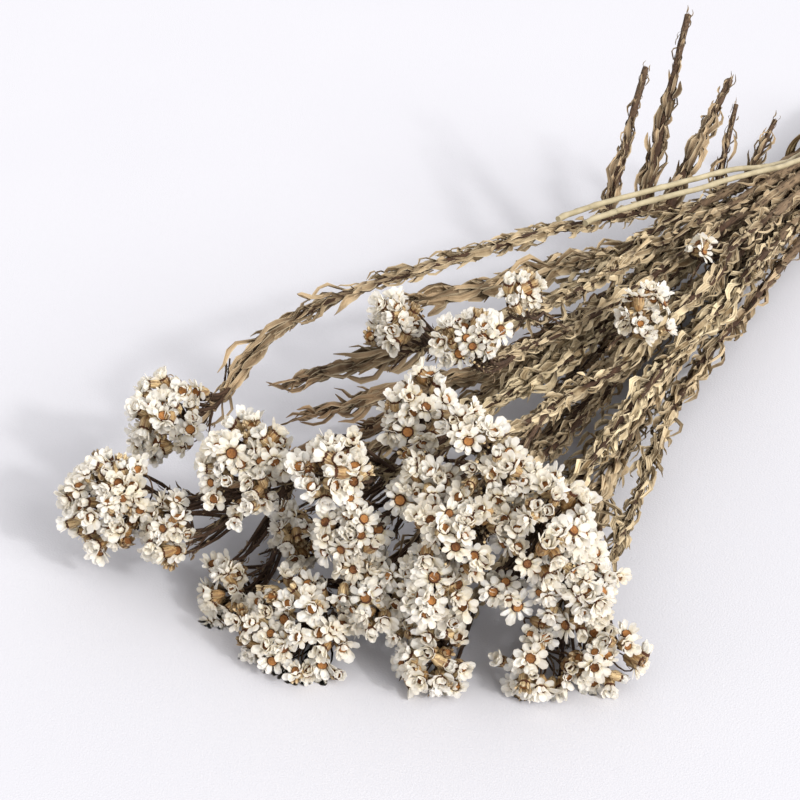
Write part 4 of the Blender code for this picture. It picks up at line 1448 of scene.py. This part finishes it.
# %% The side shoots
def side_shoots(strands):
    """The upright side shoots of each stem."""
    stems = [s for s in strands.values() if s.kind == "stem"]
    shoots = {stem.name: [] for stem in stems}
    for foot, tip, radii in SHOOTS:
        foot = vec(foot) * MM
        tip = vec(tip) * MM
        near = [(np.linalg.norm(s.path - foot, axis=1).min(), s.name) for s in stems]
        stem = strands[min(near)[1]]
        start = stem.path[np.linalg.norm(stem.path - foot, axis=1).argmin()]
        rise = tip - start
        line = hermite(start, rise * 0.8 + vec((0, 0, 10 * MM)), tip, rise, SHOOT_RINGS)
        points, _ = spread(line)
        thick = np.linspace(*radii, len(points)) * MM
        share = np.linspace(0, 1, len(points))
        size = np.interp(share, (0, 0.5, 0.75, 1), (1.2, 0.9, 0.5, 0.3)) * radii[0] / SHOOT_FOOT
        lean = np.interp(share, (0, 0.5, 1), (LEAN, SHOOT_LEAN, SHOOT_LEAN))
        leafy = np.interp(share, (0, 0.5, 1), (1, 0.8, 0.7))
        age = SHOOT_AGE * np.ones(len(points))
        shoots[stem.name].append((points, thick, leafy, size, lean, age))
    return shoots


# %% Lines as a mesh of edges
LINE_MARKS = ("thick", "leafy", "leaf_size", "lean", "age")


def line_mesh(name, lines):
    """Each line as a chain of edges, with its numbers on the points."""
    points, edges = [], []
    for line, *_ in lines:
        first = len(points)
        points.extend(tuple(p) for p in line)
        edges.extend((first + i, first + i + 1) for i in range(len(line) - 1))
    mesh = bpy.data.meshes.new(name)
    mesh.from_pydata(points, edges, [])
    columns = [np.concatenate(column) for column in list(zip(*lines))[1:]]
    write_marks(mesh, dict(zip(LINE_MARKS, columns)))
    return mesh


# %% Grow the leafy stems
# A tree draws from its seed and the few after it, so the seeds of two stems lie this far apart
SEED_STEP = 10
shoots = side_shoots(strands)
draw = np.random.default_rng(SEED)
stem_pieces = []
for number, stem in enumerate(s for s in strands.values() if s.kind == "stem"):
    family = [s for s in strands.values() if s.root is stem]
    lines = [stem_line(s, draw) for s in family] + shoots[stem.name]
    for head in heads:
        if strands[head.name] in family:
            lines += fine_twigs(strands[head.name], head, draw)
    mesh = line_mesh(stem.name, lines)
    piece = STEM_TREE.grow("leafy_stem_" + stem.name, mesh, {"Seed": SEED_STEP * number})
    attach(piece, "root")
    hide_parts("stem_" + stem.name)
    stem_pieces.append(piece)
print("stems:", len(stem_pieces), "faces:", sum(len(p.data.polygons) for p in stem_pieces))

# %% [markdown]
# ## Clusters of daisies
#
# The tree gets a dome for each cluster. It makes the dome uneven and scatters points on it that keep their
# distance, which is how the flowers share the light. A few patches stay empty, where flowers broke off.
# Each point gets a daisy that faces away from the dome, more closed towards the rim, and a stalk that
# bends back to the fork.

# %% The tree for clusters
# Each cluster has its own facing, fork and unevenness, and some have their own first kind
CLUSTER_INPUTS = {
    **BOX_CORNERS,
    "Daisy kinds": DAISY_KINDS,
    "First kind": 0.0,
    "Spacing": 4.3 * MM,
    "Smallest daisy": 0.78,
    "Largest daisy": 1.1,
    "Facing": (0.0, 0.0, 1.0),
    "Fork": (0.0, 0.0, 0.0),
    "Stalk radius": 0.35 * MM,
    "Unevenness": 0.0,
    "Gaps": 0.36,
    "Deepest": -4.5 * MM,
    "Bract": BRACT,
    "Disc": DISC,
    "Cup": CUP,
    "Stalk": BARK,
}
# Points for each square metre before those that are too close go
MOST_POINTS = 300000.0
# How far a daisy's look strays from the dome's, and how much it keeps to the cluster's facing
LOOK_STRAY = 0.95
LOOK_AHEAD = 0.6
FULL_TURN = 6.283
# The kinds are numbered, so this is past the last one. Daisies that look aside are of a later kind
LAST_KIND = 8.3
CLOSING = {"From_Min": 0.8, "From_Max": 0.2}
CLOSING_KINDS = 1.2
STALK_POINTS = 6
STALK_SIDES = 4
STALK_BEND = 0.45
# A stalk is this share thicker at the fork than at the daisy, where it has this share of its radius
STALK_TAPER = 0.7
STALK_TIP = 0.7
CUP_DEPTH = 4.7 * MM


def scatter_seats(tree):
    """Points on the uneven dome, each with the way that its daisy looks."""
    given = tree.given
    rise = (tree.noise(Scale=110.0, Detail=0.0) - 0.6) * given["Unevenness"]
    dome = tree.move(given["Geometry"], Offset=tree.geo("InputNormal") * rise)
    options = {"Density_Max": MOST_POINTS, "Seed": given["Seed"], "distribute_method": "POISSON"}
    options["Distance_Min"] = given["Spacing"]
    points = tree.geo("DistributePointsOnFaces", Mesh=dome, **options)
    jitter = tree.chance((-LOOK_STRAY,) * 3, (LOOK_STRAY,) * 3, 0, "FLOAT_VECTOR")
    look = points["Normal"] + (jitter + given["Facing"] * LOOK_AHEAD)
    seats = tree.store(points, "look", look.math("NORMALIZE"), kind="FLOAT_VECTOR")
    patches = tree.noise(Scale=150.0, Detail=0.0)
    gap = tree.compare(patches, given["Gaps"], operation="LESS_THAN")
    seats = tree.geo("DeleteGeometry", Geometry=seats, Selection=gap)
    inward = points["Normal"] * tree.chance(given["Deepest"], 0.0, 5)
    seats = tree.move(seats, Offset=inward)
    return tree.store(seats, "seat", tree.geo("InputPosition"), kind="FLOAT_VECTOR")


def set_daisies(tree, seats):
    """A daisy on each seat, turned to its look, with three finishes."""
    given = tree.given
    look = tree.named("look", "FLOAT_VECTOR")
    way = tree.put("FunctionNodeAlignRotationToVector", Vector=look, axis="Z")
    way = tree.turn(way, (0, 0, 1), tree.chance(0.0, FULL_TURN, 1))
    front = look.math("DOT_PRODUCT", given["Facing"])
    closing = tree.put("ShaderNodeMapRange", Value=front, **CLOSING) * CLOSING_KINDS
    kind = closing + tree.chance(given["First kind"], LAST_KIND, 2)
    kind = kind.math("FLOOR").math("MINIMUM", len(DAISY_FORMS) - 1)
    size = tree.chance(given["Smallest daisy"], given["Largest daisy"], 3)
    daisies = tree.set_kinds(seats, "Daisy kinds", kind, way, size, 4)
    for part, finish in ((PART_BRACT, "Bract"), (PART_DISC, "Disc"), (PART_CUP, "Cup")):
        same = tree.compare(tree.named("part"), part, Epsilon=0.5, operation="EQUAL")
        daisies = tree.paint(daisies, finish, Selection=same)
    return daisies


def set_stalks(tree, seats):
    """A stalk from each daisy's foot back to the fork, along a curve with one bend."""
    line = tree.geo("ResampleCurve", Curve=tree.geo("CurvePrimitiveLine"), Count=STALK_POINTS)
    stalks = tree.geo("InstanceOnPoints", Points=seats, Instance=line)
    stalks = tree.geo("RealizeInstances", Geometry=stalks)
    share = tree.geo("SplineParameter")["Factor"]
    rest = 1.0 - share
    look = tree.named("look", "FLOAT_VECTOR")
    foot = tree.named("seat", "FLOAT_VECTOR") - look * CUP_DEPTH
    fork = tree.given["Fork"]
    bend = foot - look * ((foot - fork).math("LENGTH") * STALK_BEND)
    middle = bend * (rest * share * 2.0)
    place = fork * (rest * rest) + (middle + foot * (share * share))
    stalks = tree.move(stalks, Position=place)
    thick = tree.given["Stalk radius"] * (rest * STALK_TAPER + STALK_TIP)
    solid = tree.sweep(stalks, tree.circle(STALK_SIDES), thick)
    return tree.paint(tree.store(solid, "age", TWIG_AGE), "Stalk")


def make_cluster_tree():
    tree = GrowingTree("daisy cluster", CLUSTER_INPUTS)
    seats = scatter_seats(tree)
    tree.join_inside(set_stalks(tree, seats), set_daisies(tree, seats))
    return tree


CLUSTER_TREE = make_cluster_tree()
print("nodes in the cluster tree:", len(CLUSTER_TREE.group.nodes))

# %% The dome of one cluster
DOME_SPREAD = math.radians(78)
DOME_SWELL = 1.02
DOME_ROWS = 6
DOME_SIDES = 16


def dome_mesh(head):
    """A dome round the way that the cluster faces."""
    side, up = across(head.facing)
    radius = head.dome * DOME_SWELL
    bm = bmesh.new()
    rows = []
    for lean in np.linspace(0, DOME_SPREAD, DOME_ROWS + 1)[1:]:
        row = []
        for turn in np.arange(DOME_SIDES) * 2 * math.pi / DOME_SIDES:
            spoke = math.cos(turn) * side + math.sin(turn) * up
            way = math.cos(lean) * head.facing + math.sin(lean) * spoke
            row.append(bm.verts.new(head.middle + way * radius))
        rows.append(row)
    crown = bm.verts.new(head.middle + head.facing * radius)
    for i in range(DOME_SIDES):
        j = (i + 1) % DOME_SIDES
        bm.faces.new((crown, rows[0][i], rows[0][j]))
        for low, high in zip(rows, rows[1:]):
            bm.faces.new((low[i], high[i], high[j], low[j]))
    mesh = bpy.data.meshes.new("dome")
    bm.to_mesh(mesh)
    bm.free()
    if Vector(mesh.polygons[0].normal).dot(Vector(head.facing)) < 0:
        mesh.flip_normals()
    return mesh


# %% Grow the clusters
# The clusters whose daisies are mostly half open, and the most open kind that they have
HALF_OPEN = ("a", "b", "b_mid", "b_low", "c", "c_low", "d", "e", "k", "n", "n_side", "o")
HALF_OPEN_KIND = 1.7
UNEVENNESS = 0.6
FIRST_CLUSTER_SEED = 100
cluster_pieces = []
for number, head in enumerate(heads):
    values = {
        "First kind": HALF_OPEN_KIND if head.name in HALF_OPEN else 0.0,
        "Facing": list(head.facing),
        "Fork": list(head.fork),
        "Unevenness": UNEVENNESS * head.dome,
        "Seed": FIRST_CLUSTER_SEED + number,
    }
    piece = CLUSTER_TREE.grow("daisy_cluster_" + head.name, dome_mesh(head), values)
    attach(piece, "root")
    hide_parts("head_" + head.name)
    cluster_pieces.append(piece)
print("clusters:", len(cluster_pieces), "faces:", sum(len(p.data.polygons) for p in cluster_pieces))

# %% [markdown]
# ## Straws and raffia
#
# The two straws are plain tubes with a thicker node every few centimetres. The raffia is one flat strip
# that winds round the bundle a few times. Both are profiles swept along a line, so one tree makes them.

# %% The tree for swept strips
STRAW_SIDES = 12


def profile_object(name, points):
    """A closed outline in the XY plane, as an object that the tree reads. Its points carry their X."""
    mesh = bpy.data.meshes.new(name)
    count = len(points)
    mesh.from_pydata([(x, y, 0) for x, y in points], [(i, (i + 1) % count) for i in range(count)], [])
    write_marks(mesh, {"across": [x for x, _ in points]})
    return bpy.data.objects.new(name, mesh)


straw_angles = np.arange(STRAW_SIDES) * 2 * math.pi / STRAW_SIDES
round_profile = profile_object("straw_profile", list(zip(np.cos(straw_angles), np.sin(straw_angles))))
# The usual values are those of a straw
SWEPT_INPUTS = {"Profile": round_profile, "Wide way": (1, 0, 0), "Wobble": 1.0 * MM, "Finish": STRAW}


def make_swept_tree():
    tree = GrowingTree("swept strip", SWEPT_INPUTS)
    given = tree.given
    curve = tree.geo("MeshToCurve", Mesh=given["Geometry"])
    noise = {"Scale": 60.0, "Detail": 1.0, "W": given["Seed"], "noise_dimensions": "4D"}
    curve = tree.drift(curve, given["Wobble"], **noise)
    curve = tree.geo("SetCurveNormal", Curve=curve, Normal=given["Wide way"], mode="FREE")
    outline = tree.geo("ObjectInfo", Object=given["Profile"])["Geometry"]
    solid = tree.sweep(curve, tree.geo("MeshToCurve", Mesh=outline), tree.named("thick"))
    tree.end(tree.paint(tree.smooth(solid), "Finish"))
    return tree


SWEPT_TREE = make_swept_tree()
print("nodes in the swept tree:", len(SWEPT_TREE.group.nodes))

# %% Grow the straws
STRAW_STEP = 1.5 * MM
STRAW_RADIUS = 1.1 * MM
STRAW_NODE_PITCH = 34 * MM
STRAW_NODE_REACH = 1.5 * MM
STRAW_NODE_HEIGHT = 0.22 * MM
for number, (name, _) in enumerate(STRAWS):
    points, marks = spread(strands[name].points(SLICE), STRAW_STEP)
    from_node = marks % STRAW_NODE_PITCH - STRAW_NODE_PITCH / 2
    thick = STRAW_RADIUS + STRAW_NODE_HEIGHT * np.exp(-((from_node / STRAW_NODE_REACH) ** 2))
    mesh = line_mesh(name, [(points, thick)])
    piece = SWEPT_TREE.grow("bare_" + name, mesh, {"Seed": number})
    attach(piece, "root")
    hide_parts(name)
    print(piece.name, "faces:", len(piece.data.polygons))

# %% Wind the raffia
RAFFIA_TURNS = 5.4
RAFFIA_POINTS = 340
RAFFIA_PROFILE = ((-1, -0.15), (-0.6, -0.34), (-0.2, -0.26), (0.25, -0.38), (0.65, -0.3), (1, -0.15))
RAFFIA_RADIUS = 1.15 * MM

upper = [(x, -y) for x, y in reversed(RAFFIA_PROFILE)]
flat_profile = profile_object("raffia_profile", list(RAFFIA_PROFILE) + upper)
turn = np.linspace(0, RAFFIA_TURNS * 2 * math.pi, RAFFIA_POINTS)
share = turn / turn[-1]
# The turns lie in and out, to and fro, and are wide and narrow by slow waves that never fall together
ring = TIE_INNER + TIE_THICKNESS * (0.45 + 0.25 * np.sin(turn * 0.61))
height = (share - 0.5) * 2.2 * TIE_TURN_WIDTH + 0.5 * MM * np.sin(turn * 1.3)
winding = np.column_stack([ring * np.cos(turn), height, TIE_OUTER + ring * np.sin(turn)])
mesh = line_mesh("raffia", [(winding, RAFFIA_RADIUS * (1 + 0.2 * np.sin(turn * 0.83)))])
values = {
    "Profile": flat_profile,
    "Wide way": (0, 1, 0),
    "Wobble": 0.3 * MM,
    "Seed": 5,
    "Finish": RAFFIA,
}
raffia = SWEPT_TREE.grow("raffia_tie", mesh, values)
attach(raffia, "root")
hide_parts("tie")
print("raffia faces:", len(raffia.data.polygons))

# %% [markdown]
# ## Finish
#
# The kinds and profiles were only patterns, so they go.

# %% Tidy up and finish
for kinds in (LEAF_KINDS, DAISY_KINDS):
    for pattern in list(kinds.objects):
        bpy.data.objects.remove(pattern)
    bpy.data.collections.remove(kinds)
for pattern in (round_profile, flat_profile):
    bpy.data.objects.remove(pattern)
